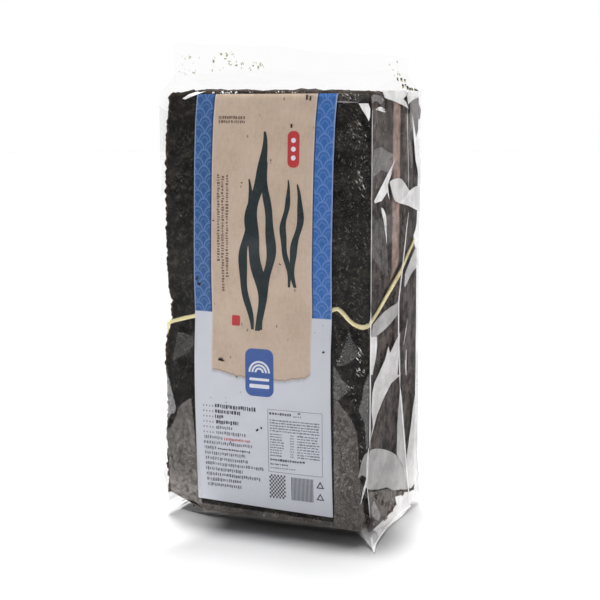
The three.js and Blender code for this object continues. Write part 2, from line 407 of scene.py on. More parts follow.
def bundle_point(c, index):
    layer = round((c.y + 1) / 2 * LAYERS)
    share = -1 + 2 * (index + (c.y + 1) / 2) / BUNDLES
    across = c.x * (1.5 - 0.5 * c.x * c.x) / 2 + 0.5
    top = along_table(TOP_EDGE, c.x * HALF_WIDTH) + top_offsets[index][layer] * TOP_LEAF
    top += TOP_RAGGED * ragged(c.x * 90, layer, 3.0 + index)
    bottom = along_table(BOTTOM_EDGE, c.x * HALF_WIDTH) + bottom_offsets[index][layer] * BOTTOM_LEAF
    bottom += BOTTOM_RAGGED * ragged(c.x * 50, layer, 5.0 + index)
    z = blend(bottom, top, c.z / 2 + 0.5)
    bite = BITE * math.exp(-(((z - tie_height(HALF_WIDTH, share * HALF_DEPTH)) / BITE_SPREAD) ** 2))
    right = STACK_RIGHT + fold_offsets[index] - FOLD_ROUND * (1 - math.sqrt(max(0.0, 1 - c.y * c.y))) - bite
    right += FOLD_UNEVEN * noise.noise(Vector((z * 0.05, index * 7.0, 1.0)))
    left = along_table(LEFT_EDGE, z) + left_offsets[index][layer]
    left += LEFT_RAGGED * ragged(z, layer * 0.35, 9.0 + index)
    left += FRINGE * max(-0.3, noise.noise(Vector((z * 0.45, layer * 0.9, 31.0 + index))))
    x = blend(left, right, across)
    worn = WORN_CORNER_RISE * between((WORN_CORNER_X - x) / WORN_CORNER_LENGTH, 0, 1)
    z += worn * ease(-c.z, 0.7, 1.0)
    sink = SINK_FRONT if share < 0 else SINK_BACK
    return Vector((x, share * (half_depth_at(x, z, math.copysign(1, share)) - sink), z))


print("bundle thickness in mm:", round((2 * HALF_DEPTH - SINK_FRONT - SINK_BACK) / BUNDLES, 2))

# %% [markdown]
# All bundles go into one mesh, because they are never moved apart. The front bundle has a finer grid, since
# its torn left edge is what shows. While each vertex is placed, the three attributes are written: edge at the
# loose ends, fold at the right end, and pale in a strip behind the middle whose folds show lighter.

# %% Build the stack
GRID_FRONT, GRID_OTHER = (40, LAYERS - 1, 190), (14, LAYERS - 1, 64)
EDGE_MARK, FOLD_MARK, PALE_MARK, END_MARK = 0.85, 0.9, 0.85, 0.12
PALE_MIDDLE, PALE_HALF = 0.7, 5.6
PALE_FADE = (112.0, 132.0)
stack = bmesh.new()
marks_made = [stack.verts.layers.float.new(name) for name in ("edge", "fold", "pale")]
for index in range(BUNDLES):
    block = grid_block(GRID_FRONT if index == 0 else GRID_OTHER)
    marks = []
    for vert in block.verts:
        c = vert.co.copy()
        vert.co = bundle_point(c, index)
        loose = max(ease(-c.x, 0.86, 1.0), END_MARK * ease(abs(c.z), 0.985, 1.0))
        fold = ease(c.x, 0.96, 1.0)
        strip = ease(1 - abs(vert.co.y - PALE_MIDDLE) / PALE_HALF, 0.0, 0.25)
        pale = strip * ease(vert.co.z, *PALE_FADE)
        marks.append((EDGE_MARK * loose * (1 - fold), FOLD_MARK * fold, PALE_MARK * fold * pale))
    block_mesh = bpy.data.meshes.new("bundle")
    block.to_mesh(block_mesh)
    block.free()
    first = len(stack.verts)
    stack.from_mesh(block_mesh)
    bpy.data.meshes.remove(block_mesh)
    stack.verts.ensure_lookup_table()
    for vert, values in zip(stack.verts[first:], marks):
        for layer, value in zip(marks_made, values):
            vert[layer] = value
nori_stack = make_piece("nori_stack", stack, nori, sharp=50)
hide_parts("bag")

# %% [markdown]
# The label is a long strip of printed paper. Its print is painted by the finish in fields of colour: a pale
# sheet, a kraft panel with a torn lower edge, and two blue bands with a traditional scale pattern. They are
# placed by the attribute flat, the paper's own millimetres before it is laid on the bag. The helper inside
# gives 1 between two heights or two widths, with a soft edge.

# %% Label finish: fields of colour
LABEL_LEFT, LABEL_RIGHT = -37.7, 34.7
LABEL_BOTTOM, LABEL_TOP = 10.6, 207.2
KRAFT_LEFT, KRAFT_RIGHT, KRAFT_TORN = -27.9, 24.9, 72.4
BAND_BOTTOM = 104.0
EDGE_SOFT = 0.15
TEAR_SWING = 2.4
TEAR_RISES = ((-10.0, -27.0, 2.6), (10.0, 21.0, 1.8), (21.5, 26.0, 3.6))

paper, tree, shader = new_finish("label_paper")
flat = add(tree, "ShaderNodeAttribute", {"attribute_name": "flat"}).outputs["Vector"]
spot = add(tree, "ShaderNodeSeparateXYZ", Vector=flat)
across, upward = spot.outputs["X"], spot.outputs["Z"]


def over(value, limit):
    return ramp(tree, calc(tree, "SUBTRACT", value, limit), -EDGE_SOFT, EDGE_SOFT)


def within(value, low, high):
    return calc(tree, "MULTIPLY", over(value, low), calc(tree, "SUBTRACT", 1.0, over(value, high)))


tear = add(tree, "ShaderNodeTexNoise", {"noise_dimensions": "1D"}, W=across, Scale=0.3, Detail=3.0,
           Roughness=0.5).outputs["Fac"]
torn_height = calc(tree, "MULTIPLY_ADD", tear, TEAR_SWING, KRAFT_TORN)
for start, end, rise in TEAR_RISES:
    torn_height = calc(tree, "MULTIPLY_ADD", ramp(tree, across, start, end), rise, torn_height)
above_tear = calc(tree, "SUBTRACT", upward, torn_height)
kraft_width = within(across, KRAFT_LEFT, KRAFT_RIGHT)
kraft_field = calc(tree, "MULTIPLY", kraft_width, over(above_tear, 0.0))
band_field = calc(tree, "MULTIPLY", calc(tree, "SUBTRACT", 1.0, kraft_width), over(upward, BAND_BOTTOM))
print("fields wired")

# %% [markdown]
# The scale pattern is rows of overlapping arcs. Each row is shifted half a scale, and the lower row lies over
# the upper one. A point first looks at the row below it, and if it falls outside that row's circle it takes
# the circle of its own row. A line follows the rim of each scale, and a fainter one lies inside it.

# %% Label finish: scale pattern
SCALE_WIDTH, SCALE_ROW, SCALE_HEIGHT = 6.9, 3.85, 4.7
SCALE_MIDDLE = 29.8


def circle_distance(row):
    shift = calc(tree, "MULTIPLY", calc(tree, "FLOORED_MODULO", row, 2.0), 0.5)
    along = calc(tree, "DIVIDE", calc(tree, "SUBTRACT", across, SCALE_MIDDLE - SCALE_WIDTH / 2), SCALE_WIDTH)
    along = calc(tree, "ADD", along, shift)
    aside = calc(tree, "SUBTRACT", calc(tree, "FRACT", along), 0.5)
    rise = calc(tree, "SUBTRACT", upward, calc(tree, "MULTIPLY", row, SCALE_ROW))
    rise = calc(tree, "MULTIPLY", rise, 0.5 / SCALE_HEIGHT)
    square = calc(tree, "ADD", calc(tree, "MULTIPLY", aside, aside), calc(tree, "MULTIPLY", rise, rise))
    return calc(tree, "SQRT", square)


row_here = calc(tree, "FLOOR", calc(tree, "DIVIDE", upward, SCALE_ROW))
own = circle_distance(row_here)
below = circle_distance(calc(tree, "SUBTRACT", row_here, 1.0))
covered = calc(tree, "LESS_THAN", below, 0.5)
ring = calc(tree, "ADD", calc(tree, "MULTIPLY", covered, below),
            calc(tree, "MULTIPLY", calc(tree, "SUBTRACT", 1.0, covered), own))
rim_line = calc(tree, "MULTIPLY", ramp(tree, ring, 0.38, 0.43), ramp(tree, ring, 0.52, 0.48))
inner_line = calc(tree, "MULTIPLY", ramp(tree, ring, 0.2, 0.24), ramp(tree, ring, 0.32, 0.27))
scale_line = calc(tree, "ADD", rim_line, calc(tree, "MULTIPLY", inner_line, 0.6))
print("scale pattern wired")

# %% [markdown]
# The fields are now coloured. Kraft gets long fibres, scattered dark flecks and a pale torn rim. The blue
# bands, a little greyer on the left, get paler lines, a thin pale border and a dark line beside the kraft.
# The pale sheet stays almost even, and a soft shade under the torn edge makes the kraft panel look laid on.

# %% Label finish: colours
BORDER, GAP_LINE, TORN_RIM = 0.5, 0.75, 0.65
fibre = speckle(tree, place(tree, (1, 1, 0.3)), 900.0, 5.0, 0.7)
cloudy = speckle(tree, place(tree), 60.0, 3.0)
fleck = add(tree, "ShaderNodeTexVoronoi", Vector=place(tree, (1, 1, 0.55)), Scale=330.0)
fleck_mark = ramp(tree, fleck.outputs["Distance"], 0.17, 0.1)
chance = add(tree, "ShaderNodeSeparateColor", Color=fleck.outputs["Color"]).outputs[0]
rare = ramp(tree, chance, 0.82, 0.9)
kraft_tone = tint(tree, fibre, rgb(184, 164, 147), rgb(222, 203, 184))
kraft_tone = glaze(tree, kraft_tone, ramp(tree, cloudy, 0.35, 0.65), 0.3, rgb(166, 144, 120))
mottled = ramp(tree, speckle(tree, place(tree), 480.0, 4.0, 0.65), 0.35, 0.65)
kraft_tone = glaze(tree, kraft_tone, mottled, 0.4, rgb(216, 192, 170))
kraft_tone = glaze(tree, kraft_tone, calc(tree, "MULTIPLY", fleck_mark, rare), 0.7, rgb(92, 74, 62))
sheet_tone = tint(tree, cloudy, rgb(206, 208, 217), rgb(216, 218, 226))
blue_tone = tint(tree, over(across, 0.0), rgb(56, 95, 150), rgb(57, 107, 178))
blue_tone = glaze(tree, blue_tone, scale_line, 0.32, rgb(142, 178, 228))
border = within(across, LABEL_LEFT + BORDER, LABEL_RIGHT - BORDER)
blue_tone = tint(tree, border, rgb(150, 168, 204), blue_tone)
beside_kraft = within(across, KRAFT_LEFT - GAP_LINE, KRAFT_RIGHT + GAP_LINE)
blue_tone = glaze(tree, blue_tone, beside_kraft, 0.85, rgb(42, 56, 90))
kraft_tone = glaze(tree, kraft_tone, ramp(tree, above_tear, 0.9, 0.1), 0.6, rgb(128, 108, 94))
torn_rim = calc(tree, "SUBTRACT", 1.0, within(across, KRAFT_LEFT + TORN_RIM, KRAFT_RIGHT - TORN_RIM))
torn_rim = calc(tree, "MULTIPLY", torn_rim, calc(tree, "MULTIPLY_ADD", fibre, 0.8, 0.2))
kraft_tone = tint(tree, torn_rim, kraft_tone, rgb(216, 206, 198))
drop_shade = calc(tree, "MULTIPLY", kraft_width, ramp(tree, above_tear, -2.2, 0.3))
sheet_tone = glaze(tree, sheet_tone, drop_shade, 0.45, rgb(120, 112, 112))
colour = tint(tree, kraft_field, sheet_tone, kraft_tone)
colour = tint(tree, band_field, colour, blue_tone)
wire(tree, colour, shader.inputs["Base Color"])
shader.inputs["Roughness"].default_value = 0.62
shader.inputs["Specular IOR Level"].default_value = 0.3
wire(tree, bumped(tree, fibre, 0.15, 0.0002), shader.inputs["Normal"])
print(paper.name, "nodes:", len(tree.nodes))

# %% [markdown]
# The paper itself is a flat grid laid against the front of the bag, so that it follows the swell of the stack
# and bends back over its top edge. The strip was not stuck on quite straight, so it drifts a little from side
# to side, and its lower right corner hangs lower. Solidify gives it the thickness of paper. Print that stands
# as its own shape, such as the badge, is laid the same way, a hair in front of the paper.

# %% Label sheet
LABEL_SINK = 1.0
PAPER_THICK = 0.18
LABEL_NARROW = 0.985
LABEL_DROP, LABEL_DROP_HEIGHT = (-0.3, 1.25), 60.0
LABEL_DRIFT = (
    (10, -0.3), (35, -0.8), (60, -1.2), (90, -1.25), (135, -0.8), (175, -0.4), (195, 0.2), (208, 1.3),
)
LABEL_GRID = (36, 120)
PRINT_LIFT = 0.06


def lay_on_front(bm, sink):
    for vert in bm.verts:
        x, z = vert.co.x, vert.co.z
        vert.co.y = sink - half_depth_at(x, z, -1)
    return bm


def upright_grid(left, right, bottom, top, columns, rows):
    bm = bmesh.new()
    bmesh.ops.create_grid(bm, x_segments=columns, y_segments=rows, size=1)
    for vert in bm.verts:
        u, v = vert.co.x / 2 + 0.5, vert.co.y / 2 + 0.5
        vert.co = Vector((blend(left, right, u), 0.0, blend(bottom, top, v)))
    return bm


def thicken(bm, thickness):
    bmesh.ops.recalc_face_normals(bm, faces=bm.faces)
    if sum(f.normal.y for f in bm.faces) > 0:
        bmesh.ops.reverse_faces(bm, faces=bm.faces)
    bmesh.ops.solidify(bm, geom=bm.faces[:], thickness=thickness)
    bmesh.ops.recalc_face_normals(bm, faces=bm.faces)
    return bm


def let_drift(bm):
    flat_layer = bm.verts.layers.float_vector.new("flat")
    middle = (LABEL_LEFT + LABEL_RIGHT) / 2
    for vert in bm.verts:
        vert[flat_layer] = vert.co
        low = 1 - between((vert.co.z - LABEL_BOTTOM) / LABEL_DROP_HEIGHT, 0, 1)
        aside = (vert.co.x - LABEL_LEFT) / (LABEL_RIGHT - LABEL_LEFT)
        vert.co.x = middle + (vert.co.x - middle) * LABEL_NARROW + along_table(LABEL_DRIFT, vert.co.z)
        vert.co.z -= low * blend(LABEL_DROP[0], LABEL_DROP[1], aside)
    return bm


sheet = let_drift(upright_grid(LABEL_LEFT, LABEL_RIGHT, LABEL_BOTTOM, LABEL_TOP, *LABEL_GRID))
sheet = thicken(lay_on_front(sheet, LABEL_SINK), PAPER_THICK)
label = make_piece("label_sheet", sheet, paper, sharp=40)
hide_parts("label")

# %% [markdown]
# Printed shapes are inks: nearly flat colours that let the paper show through where the brush ran dry. One
# function makes each ink from two tones and how much it breaks up.

# %% Inks


def ink(name, dark, light, broken):
    finish, tree, shader = new_finish(name)
    grain = speckle(tree, place(tree, (1, 1, 0.4)), 1100.0, 5.0, 0.7)
    wash = speckle(tree, place(tree), 160.0, 3.0)
    share = calc(tree, "ADD", calc(tree, "MULTIPLY", grain, broken), calc(tree, "MULTIPLY", wash, 0.2))
    wire(tree, tint(tree, share, dark, light), shader.inputs["Base Color"])
    shader.inputs["Roughness"].default_value = 0.6
    shader.inputs["Specular IOR Level"].default_value = 0.3
    return finish


teal_ink = ink("ink_teal", rgb(16, 30, 38), rgb(86, 98, 98), 0.25)
blue_ink = ink("ink_blue", rgb(60, 92, 160), rgb(92, 120, 180), 0.3)
red_ink = ink("ink_red", rgb(186, 44, 50), rgb(214, 92, 92), 0.3)
grey_ink = ink("ink_grey", rgb(100, 102, 112), rgb(150, 152, 160), 0.4)
dark_ink = ink("ink_dark", rgb(50, 52, 62), rgb(104, 106, 116), 0.4)
brown_ink = ink("ink_brown", rgb(98, 80, 72), rgb(150, 128, 116), 0.4)
pale_ink = ink("ink_pale", rgb(236, 238, 242), rgb(206, 212, 226), 0.4)
print("inks ready")

# %% [markdown]
# A rounded patch is a grid cell with its four corners bevelled, then cut into small squares so that it can
# bend with the front. The badge, the red pill and the small seal are all such patches. Each is given by its
# left, right, bottom and top in millimetres and the radius of its corners.

# %% Badge, pill and seal
BADGE = (-10.4, 4.4, 65.0, 88.0, 3.6)
PILL = (11.2, 17.1, 173.5, 190.3, 2.6)
SEAL = (-17.8, -13.4, 98.2, 103.2, 0.8)
PATCH_CELL = 3.0


def cut_across(bm, spot_on, normal, **sides):
    parts = bm.verts[:] + bm.edges[:] + bm.faces[:]
    bmesh.ops.bisect_plane(bm, geom=parts, plane_co=spot_on, plane_no=normal, **sides)


def rounded_patch(left, right, bottom, top, radius):
    bm = upright_grid(left, right, bottom, top, 1, 1)
    bmesh.ops.bevel(bm, geom=bm.verts[:], offset=radius, offset_type="OFFSET", affect="VERTICES", segments=6,
                    profile=0.5, material=-1)
    for low, high, across_way in ((bottom, top, Vector((0, 0, 1))), (left, right, Vector((1, 0, 0)))):
        slices = max(1, round((high - low) / PATCH_CELL))
        for step in range(1, slices):
            cut_across(bm, across_way * blend(low, high, step / slices), across_way)
    return bm


def merge(target, extra):
    mesh = bpy.data.meshes.new("extra")
    extra.to_mesh(mesh)
    extra.free()
    target.from_mesh(mesh)
    bpy.data.meshes.remove(mesh)
    return target


def print_piece(name, bm, finish, lift=1.0):
    laid = lay_on_front(bm, LABEL_SINK - PRINT_LIFT * lift)
    return make_piece(name, thicken(laid, PRINT_LIFT / 2), finish, sharp=40)


print_piece("label_badge", rounded_patch(*BADGE), blue_ink)
print_piece("label_reds", merge(rounded_patch(*PILL), rounded_patch(*SEAL)), red_ink)

# %% [markdown]
# On the badge stands a fan of three arcs, the same wave that the blue bands repeat, with two plain bars under
# it. An arc is a circle that is inset and cut through the middle. Three pale dots fill the pill.

# %% Pale marks on the badge and pill
PALE_LIFT = 2.0
FAN_X, FAN_Z, FAN_RIM = -3.0, 76.6, 0.95
FAN_RADII = (5.6, 4.0, 2.4)
BADGE_BARS = ((-8.2, 2.2, 72.6, 73.9, 0.5), (-8.2, 2.2, 69.0, 70.9, 0.5))
DOT_X, DOT_RADIUS = 14.15, 1.15
DOT_HEIGHTS = (178.0, 182.0, 186.0)


def disc(x, z, radius, segments=28):
    bm = bmesh.new()
    bmesh.ops.create_circle(bm, cap_ends=True, segments=segments, radius=radius)
    for vert in bm.verts:
        vert.co = Vector((x + vert.co.x, 0.0, z + vert.co.y))
    bm.normal_update()
    return bm


def hollow(bm, rim):
    middle = bm.faces[:][0]
    bmesh.ops.inset_region(bm, faces=[middle], thickness=rim, use_boundary=True, use_even_offset=True)
    bmesh.ops.delete(bm, geom=[middle], context="FACES_ONLY")
    return bm


def arc(x, z, radius, rim):
    bm = hollow(disc(x, z, radius, 40), rim)
    cut_across(bm, (x, 0, z), (0, 0, -1), clear_outer=True)
    return bm


marks = bmesh.new()
for radius in FAN_RADII:
    merge(marks, arc(FAN_X, FAN_Z, radius, FAN_RIM))
for place_of_bar in BADGE_BARS:
    merge(marks, rounded_patch(*place_of_bar))
for height in DOT_HEIGHTS:
    merge(marks, disc(DOT_X, height, DOT_RADIUS))
print_piece("label_pale_marks", marks, pale_ink, PALE_LIFT)

# %% [markdown]
# In the middle of the kraft panel stands a brush drawing in dark teal ink: fronds of laver rising from the
# sea bed. A frond is a narrow grid whose middle line sways from side to side and whose width swells and
# tapers like a brush stroke, with wavy edges. The table gives its root, its tip, its width and how it sways.

# %% Fronds
FRONDS = (
    ((-5.0, 96.5), (-3.0, 190.0), 6.4, 3.0, 2.6, 0.3),
    ((-9.0, 97.0), (-9.5, 168.0), 4.2, 2.4, 2.2, 2.0),
    ((-0.5, 97.0), (2.6, 176.0), 4.6, 2.2, 2.4, 4.1),
    ((11.0, 118.0), (10.5, 168.0), 3.0, 1.5, 2.4, 1.0),
    ((15.5, 118.0), (16.5, 166.0), 3.4, 1.8, 2.0, 3.3),
)
RUFFLE = 0.22


def frond(root, tip, width, sway, waves, phase):
    bm = bmesh.new()
    bmesh.ops.create_grid(bm, x_segments=4, y_segments=64, size=1)
    for vert in bm.verts:
        u, t = vert.co.x, vert.co.y / 2 + 0.5
        taper = math.sin(math.pi * between(t * 0.94 + 0.05, 0, 1)) ** 0.55
        ruffle = 1 + RUFFLE * math.sin(9 * waves * t + 2 * phase + (2.1 if u > 0 else 0.0))
        middle = blend(root[0], tip[0], t) + sway * math.sin(waves * math.pi * t + phase)
        vert.co = Vector((middle + u * width / 2 * taper * ruffle, 0.0, blend(root[1], tip[1], t)))
    return bm


fronds = bmesh.new()
for stroke in FRONDS:
    merge(fronds, frond(*stroke))
print_piece("label_fronds", fronds, teal_ink)

# %% [markdown]
# Fine print is drawn as short plain bars, which give the paper an even grey tone. Bars are laid in rows with
# lengths drawn from a seeded generator. A row is drawn from its left end to its right end, at a height, with
# the height of its bars and their shortest and longest length.

# %% Fine print: how a row is drawn
BAR_CELL = 8


def bar(left, right, bottom, top):
    columns, rows = (max(1, round(size / BAR_CELL)) for size in (right - left, top - bottom))
    return upright_grid(left, right, bottom, top, columns, rows)


def bar_row(target, left, right, bottom, height, shortest, longest):
    x = left
    while x < right - shortest:
        length = min(draw.uniform(shortest, longest), right - x)
        low = bottom + height * draw.uniform(0.0, 0.3)
        merge(target, bar(x, x + length, low, bottom + height * draw.uniform(0.8, 1.0)))
        x += length + draw.uniform(0.25, 0.6)


dark_print, grey_print, red_print, brown_print = (bmesh.new() for _ in range(4))
print("longest cell of a bar in mm:", BAR_CELL)

# %% [markdown]
# The pale sheet under the kraft panel has sixteen rows. The first ones are heavier, and small marks stand in
# four columns to the left of them. On the kraft panel itself, three brown columns and two short brown rows
# stand to the left of the fronds.

# %% Fine print: rows and columns
ROW_TOP, ROW_STEP = 57.2, 2.63
HEAVY_ROWS = ((-27.2, -5.2), (-27.2, -13.5), (-27.2, -22.4), (-26.7, -14.6))
LIGHT_ROWS = (
    (-26.7, -17.5), (-26.7, -10.3), (-33.4, -22.8), (-33.7, -7.3), (-33.4, -27.0), (-33.1, -11.1),
    (-32.9, -9.5), (-32.9, -1.7), (-32.9, -12.1), (-32.6, -2.8), (-32.3, -13.8), (-32.0, -13.5),
)
MARK_COLUMNS, MARK_ROWS, MARK_WIDTH, MARK_SPAN = (-33.8, -32.1, -30.4, -28.8), 6, 0.55, (0.4, 1.2)
BROWN_COLUMNS, COLUMN_TOP = ((-25.3, 128.8), (-23.0, 114.5), (-20.6, 121.4)), 169.0
BROWN_ROWS = (193.4, 195.5)
for line, (left, right) in enumerate(HEAVY_ROWS):
    bar_row(dark_print, left, right, ROW_TOP - line * ROW_STEP, 2.15, 0.4, 1.1)
for line, (left, right) in enumerate(LIGHT_ROWS, len(HEAVY_ROWS)):
    bar_row(grey_print, left, right, ROW_TOP - line * ROW_STEP, 1.9, 0.35, 0.9)
for line in range(MARK_ROWS):
    low, high = (ROW_TOP + rise - line * ROW_STEP for rise in MARK_SPAN)
    for x in MARK_COLUMNS:
        merge(grey_print, bar(x, x + MARK_WIDTH, low, high))
bar_row(red_print, -22.4, -8.4, ROW_TOP - 6 * ROW_STEP, 1.5, 0.25, 0.5)
bar_row(dark_print, -26.1, -8.4, ROW_TOP + 0.2 - 8 * ROW_STEP, 1.1, 0.4, 1.0)
for x, z in BROWN_COLUMNS:
    while z < COLUMN_TOP:
        tall = draw.uniform(0.5, 1.1)
        merge(brown_print, bar(x + draw.uniform(0.0, 0.5), x + draw.uniform(1.1, 1.7), z, z + tall))
        z += tall + draw.uniform(0.25, 0.7)
for bottom in BROWN_ROWS:
    bar_row(brown_print, -24.4, -10.8, bottom, 1.7, 0.4, 1.1)
print("rows:", len(HEAVY_ROWS) + len(LIGHT_ROWS))

# %% [markdown]
# Beside the rows stands a ruled frame filled with finer rows, and under it a plain chequer, a comb of even
# stripes and two small triangles, which fill this corner of the label.

# %% Fine print: frame, chequer and stripes
FRAME_LEFT, FRAME_RIGHT, FRAME_BOTTOM, FRAME_TOP = 1.2, 28.8, 28.6, 59.2
RULE = 0.22
ROW_LEFT, ROW_RIGHT, FINE_STEP = 2.2, 27.4, 1.3
WIDE_ROWS, WIDE_ROWS_TOP, SPLIT_ROWS, SPLIT_ROWS_TOP = 5, 53.6, 9, 46.8
CHEQUER_LEFT, CHEQUER_BOTTOM, CHEQUER_COLUMNS, CHEQUER_ROWS = 1.4, 15.6, 10, 12
CHEQUER_WIDE, CHEQUER_TALL = 0.84, 0.98
STRIPES, STRIPE_LEFT, STRIPE_STEP, STRIPE_WIDTH, STRIPE_SPAN = 17, 12.8, 0.68, 0.34, (15.6, 26.9)
TRIANGLE_X, TRIANGLE_HEIGHTS, TRIANGLE_RADIUS, TRIANGLE_RIM = 27.6, (18.2, 24.0), 2.3, 0.5
for height in (FRAME_BOTTOM, FRAME_TOP):
    merge(grey_print, bar(FRAME_LEFT, FRAME_RIGHT, height - RULE / 2, height + RULE / 2))
for side in (FRAME_LEFT, FRAME_RIGHT):
    merge(grey_print, bar(side - RULE / 2, side + RULE / 2, FRAME_BOTTOM + RULE, FRAME_TOP - RULE))
bar_row(dark_print, 2.0, 13.6, 56.4, 1.5, 0.5, 1.2)
bar_row(grey_print, 14.4, 18.6, 56.2, 0.8, 0.4, 0.9)
for row in range(WIDE_ROWS):
    bar_row(grey_print, ROW_LEFT, ROW_RIGHT, WIDE_ROWS_TOP - row * FINE_STEP, 0.78, 0.6, 1.8)
for row in range(SPLIT_ROWS):
    height = SPLIT_ROWS_TOP - row * FINE_STEP
    bar_row(grey_print, ROW_LEFT, 9.2, height, 0.72, 0.6, 1.6)
    bar_row(grey_print, 12.6, 14.4, height, 0.72, 0.5, 0.9)
    bar_row(grey_print, 16.2, ROW_RIGHT, height, 0.72, 0.6, 1.8)
bar_row(dark_print, ROW_LEFT, 20.4, 34.0, 1.3, 0.5, 1.2)
bar_row(dark_print, ROW_LEFT, 11.2, 32.0, 0.9, 0.4, 1.0)
bar_row(grey_print, ROW_LEFT, 15.0, 30.3, 0.7, 0.4, 1.0)
for row in range(CHEQUER_ROWS):
    for column in range(row % 2, CHEQUER_COLUMNS, 2):
        left, bottom = CHEQUER_LEFT + column * CHEQUER_WIDE, CHEQUER_BOTTOM + row * CHEQUER_TALL
        merge(dark_print, bar(left, left + CHEQUER_WIDE, bottom, bottom + CHEQUER_TALL))
for stripe in range(STRIPES):
    left = STRIPE_LEFT + stripe * STRIPE_STEP
    merge(dark_print, bar(left, left + STRIPE_WIDTH, *STRIPE_SPAN))
for height in TRIANGLE_HEIGHTS:
    merge(dark_print, hollow(disc(TRIANGLE_X, height, TRIANGLE_RADIUS, 3), TRIANGLE_RIM))
print_piece("label_dark_print", dark_print, dark_ink)
print_piece("label_grey_print", grey_print, grey_ink)
print_piece("label_red_print", red_print, red_ink)
print_piece("label_brown_print", brown_print, brown_ink)

# %% [markdown]
# The tie is a single dried straw, pale yellow and a little glossy. Its grain runs along the straw, so the
# noise is stretched sideways, and the same grain gives it a slight relief.

# %% Straw finish
straw, tree, shader = new_finish("straw")
grain = speckle(tree, place(tree, (0.25, 0.25, 3.0)), 900.0, 4.0, 0.6)
straw_tone = tint(tree, ramp(tree, grain, 0.3, 0.7), rgb(240, 219, 148), rgb(255, 247, 208))
wire(tree, straw_tone, shader.inputs["Base Color"])
shader.inputs["Roughness"].default_value = 0.5
wire(tree, bumped(tree, grain, 0.5, 0.0004), shader.inputs["Normal"])
print(straw.name, "nodes:", len(tree.nodes))

# %% [markdown]
# Seen from above, the straw follows a rectangle with rounded corners. A share from 0 to 1 says how far round
# a point is. Its height is the rule at the start of the lesson, with a few kinks near the front right corner,
# and it is drawn in against the wall at that height, so that it sinks a little into the film.

# %% The tie's route
TIE_SINK = 1.75
TIE_SINK_LEFT = 0.6
TIE_HALF_WIDE, TIE_HALF_THICK = 1.05, 0.45
TIE_CORNER = 2.4
KINKS_END = -22.0
MEASURES = 99
TIE_KINKS = (
    (30, 0.0), (33, 1.3), (36.5, 1.6), (38.5, 0.4), (42, -1.3), (44.5, -1.4), (47.5, -0.9), (50, -0.2),
    (52, 0.8),
)


def plan_point(share):
    long, short = 2 * (HALF_WIDTH - TIE_CORNER), 2 * (HALF_DEPTH - TIE_CORNER)
    arc = TIE_CORNER * math.pi / 2
    walk = (share % 1) * (2 * (long + short) + 4 * arc)
    x, y, heading = -long / 2, -HALF_DEPTH, 0.0
    for straight in (long, short, long, short):
        step = min(walk, straight)
        x, y, walk = x + step * math.cos(heading), y + step * math.sin(heading), walk - step
        if walk <= 0:
            break
        turn = min(walk, arc) / TIE_CORNER
        x += TIE_CORNER * (math.sin(heading + turn) - math.sin(heading))
        y -= TIE_CORNER * (math.cos(heading + turn) - math.cos(heading))
        heading, walk = heading + turn, walk - turn * TIE_CORNER
        if walk <= 0:
            break
    return x, y


def tie_point(share):
    x, y = plan_point(share)
    z = tie_height(x, y) + along_table(TIE_KINKS, x) * (1 - ease(y, -HALF_DEPTH, KINKS_END))
    depth_share = y / HALF_DEPTH
    side_sink = TIE_SINK if x > 0 else TIE_SINK_LEFT
    x = x / HALF_WIDTH * (half_width_at(depth_share, x) - side_sink)
    return Vector((x, depth_share * (half_depth_at(x, z, math.copysign(1, y)) - TIE_SINK), z))


measured = [tie_point(i / MEASURES) for i in range(MEASURES + 1)]
print("tie length in mm:", round(sum((b - a).length for a, b in zip(measured, measured[1:]))))

# %% [markdown]
# The straw is flat. A small ring of ten points is set across the route and extruded from station to station
# round the bag, then its two ends are bridged. It swells and twists a little, as dried straw does, and is
# wider where it crosses the right side.

# %% Build the tie
TIE_STATIONS, RING_POINTS = 220, 10
STATION_REACH = 0.002
SWELL, SWELL_RIGHT, SWELL_RIGHT_FROM, SWELL_RIGHT_TO = 0.25, 0.35, 49.5, 51.0
TWIST, TWIST_SLANT = 0.25, 0.3


def tie_ring_place(ring, share):
    ahead = (tie_point(share + STATION_REACH) - tie_point(share + 1 - STATION_REACH)).normalized()
    outward = ahead.cross(Vector((0, 0, 1))).normalized()
    wide = outward.cross(ahead)
    middle = tie_point(share)
    swell = 1 + SWELL * noise.noise(Vector((share * 40, 0, 2)))
    swell += SWELL_RIGHT * ease(middle.x, SWELL_RIGHT_FROM, SWELL_RIGHT_TO)
    twist = TWIST * noise.noise(Vector((share * 22, 4, 2)))
    slant = math.sin(twist) * TWIST_SLANT
    for step, vert in enumerate(ring):
        angle = 2 * math.pi * step / len(ring)
        a = TIE_HALF_THICK * math.cos(angle)
        b = TIE_HALF_WIDE * swell * math.sin(angle)
        a, b = a * math.cos(twist) - b * slant, a * slant + b * math.cos(twist)
        vert.co = middle + outward * a + wide * b


tie_mesh = bmesh.new()
ring = bmesh.ops.create_circle(tie_mesh, segments=RING_POINTS, radius=1)["verts"]
first_edges = tie_mesh.edges[:]
tie_ring_place(ring, 0.0)
last_edges = first_edges
for station in range(1, TIE_STATIONS):
    grown = bmesh.ops.extrude_edge_only(tie_mesh, edges=last_edges)["geom"]
    last_edges = [g for g in grown if isinstance(g, bmesh.types.BMEdge)]
    ring = [g for g in grown if isinstance(g, bmesh.types.BMVert)]
    tie_ring_place(ring, station / TIE_STATIONS)
bmesh.ops.bridge_loops(tie_mesh, edges=first_edges + last_edges)
bmesh.ops.recalc_face_normals(tie_mesh, faces=tie_mesh.faces)
tie = make_piece("straw_tie", tie_mesh, straw)
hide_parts("tie")

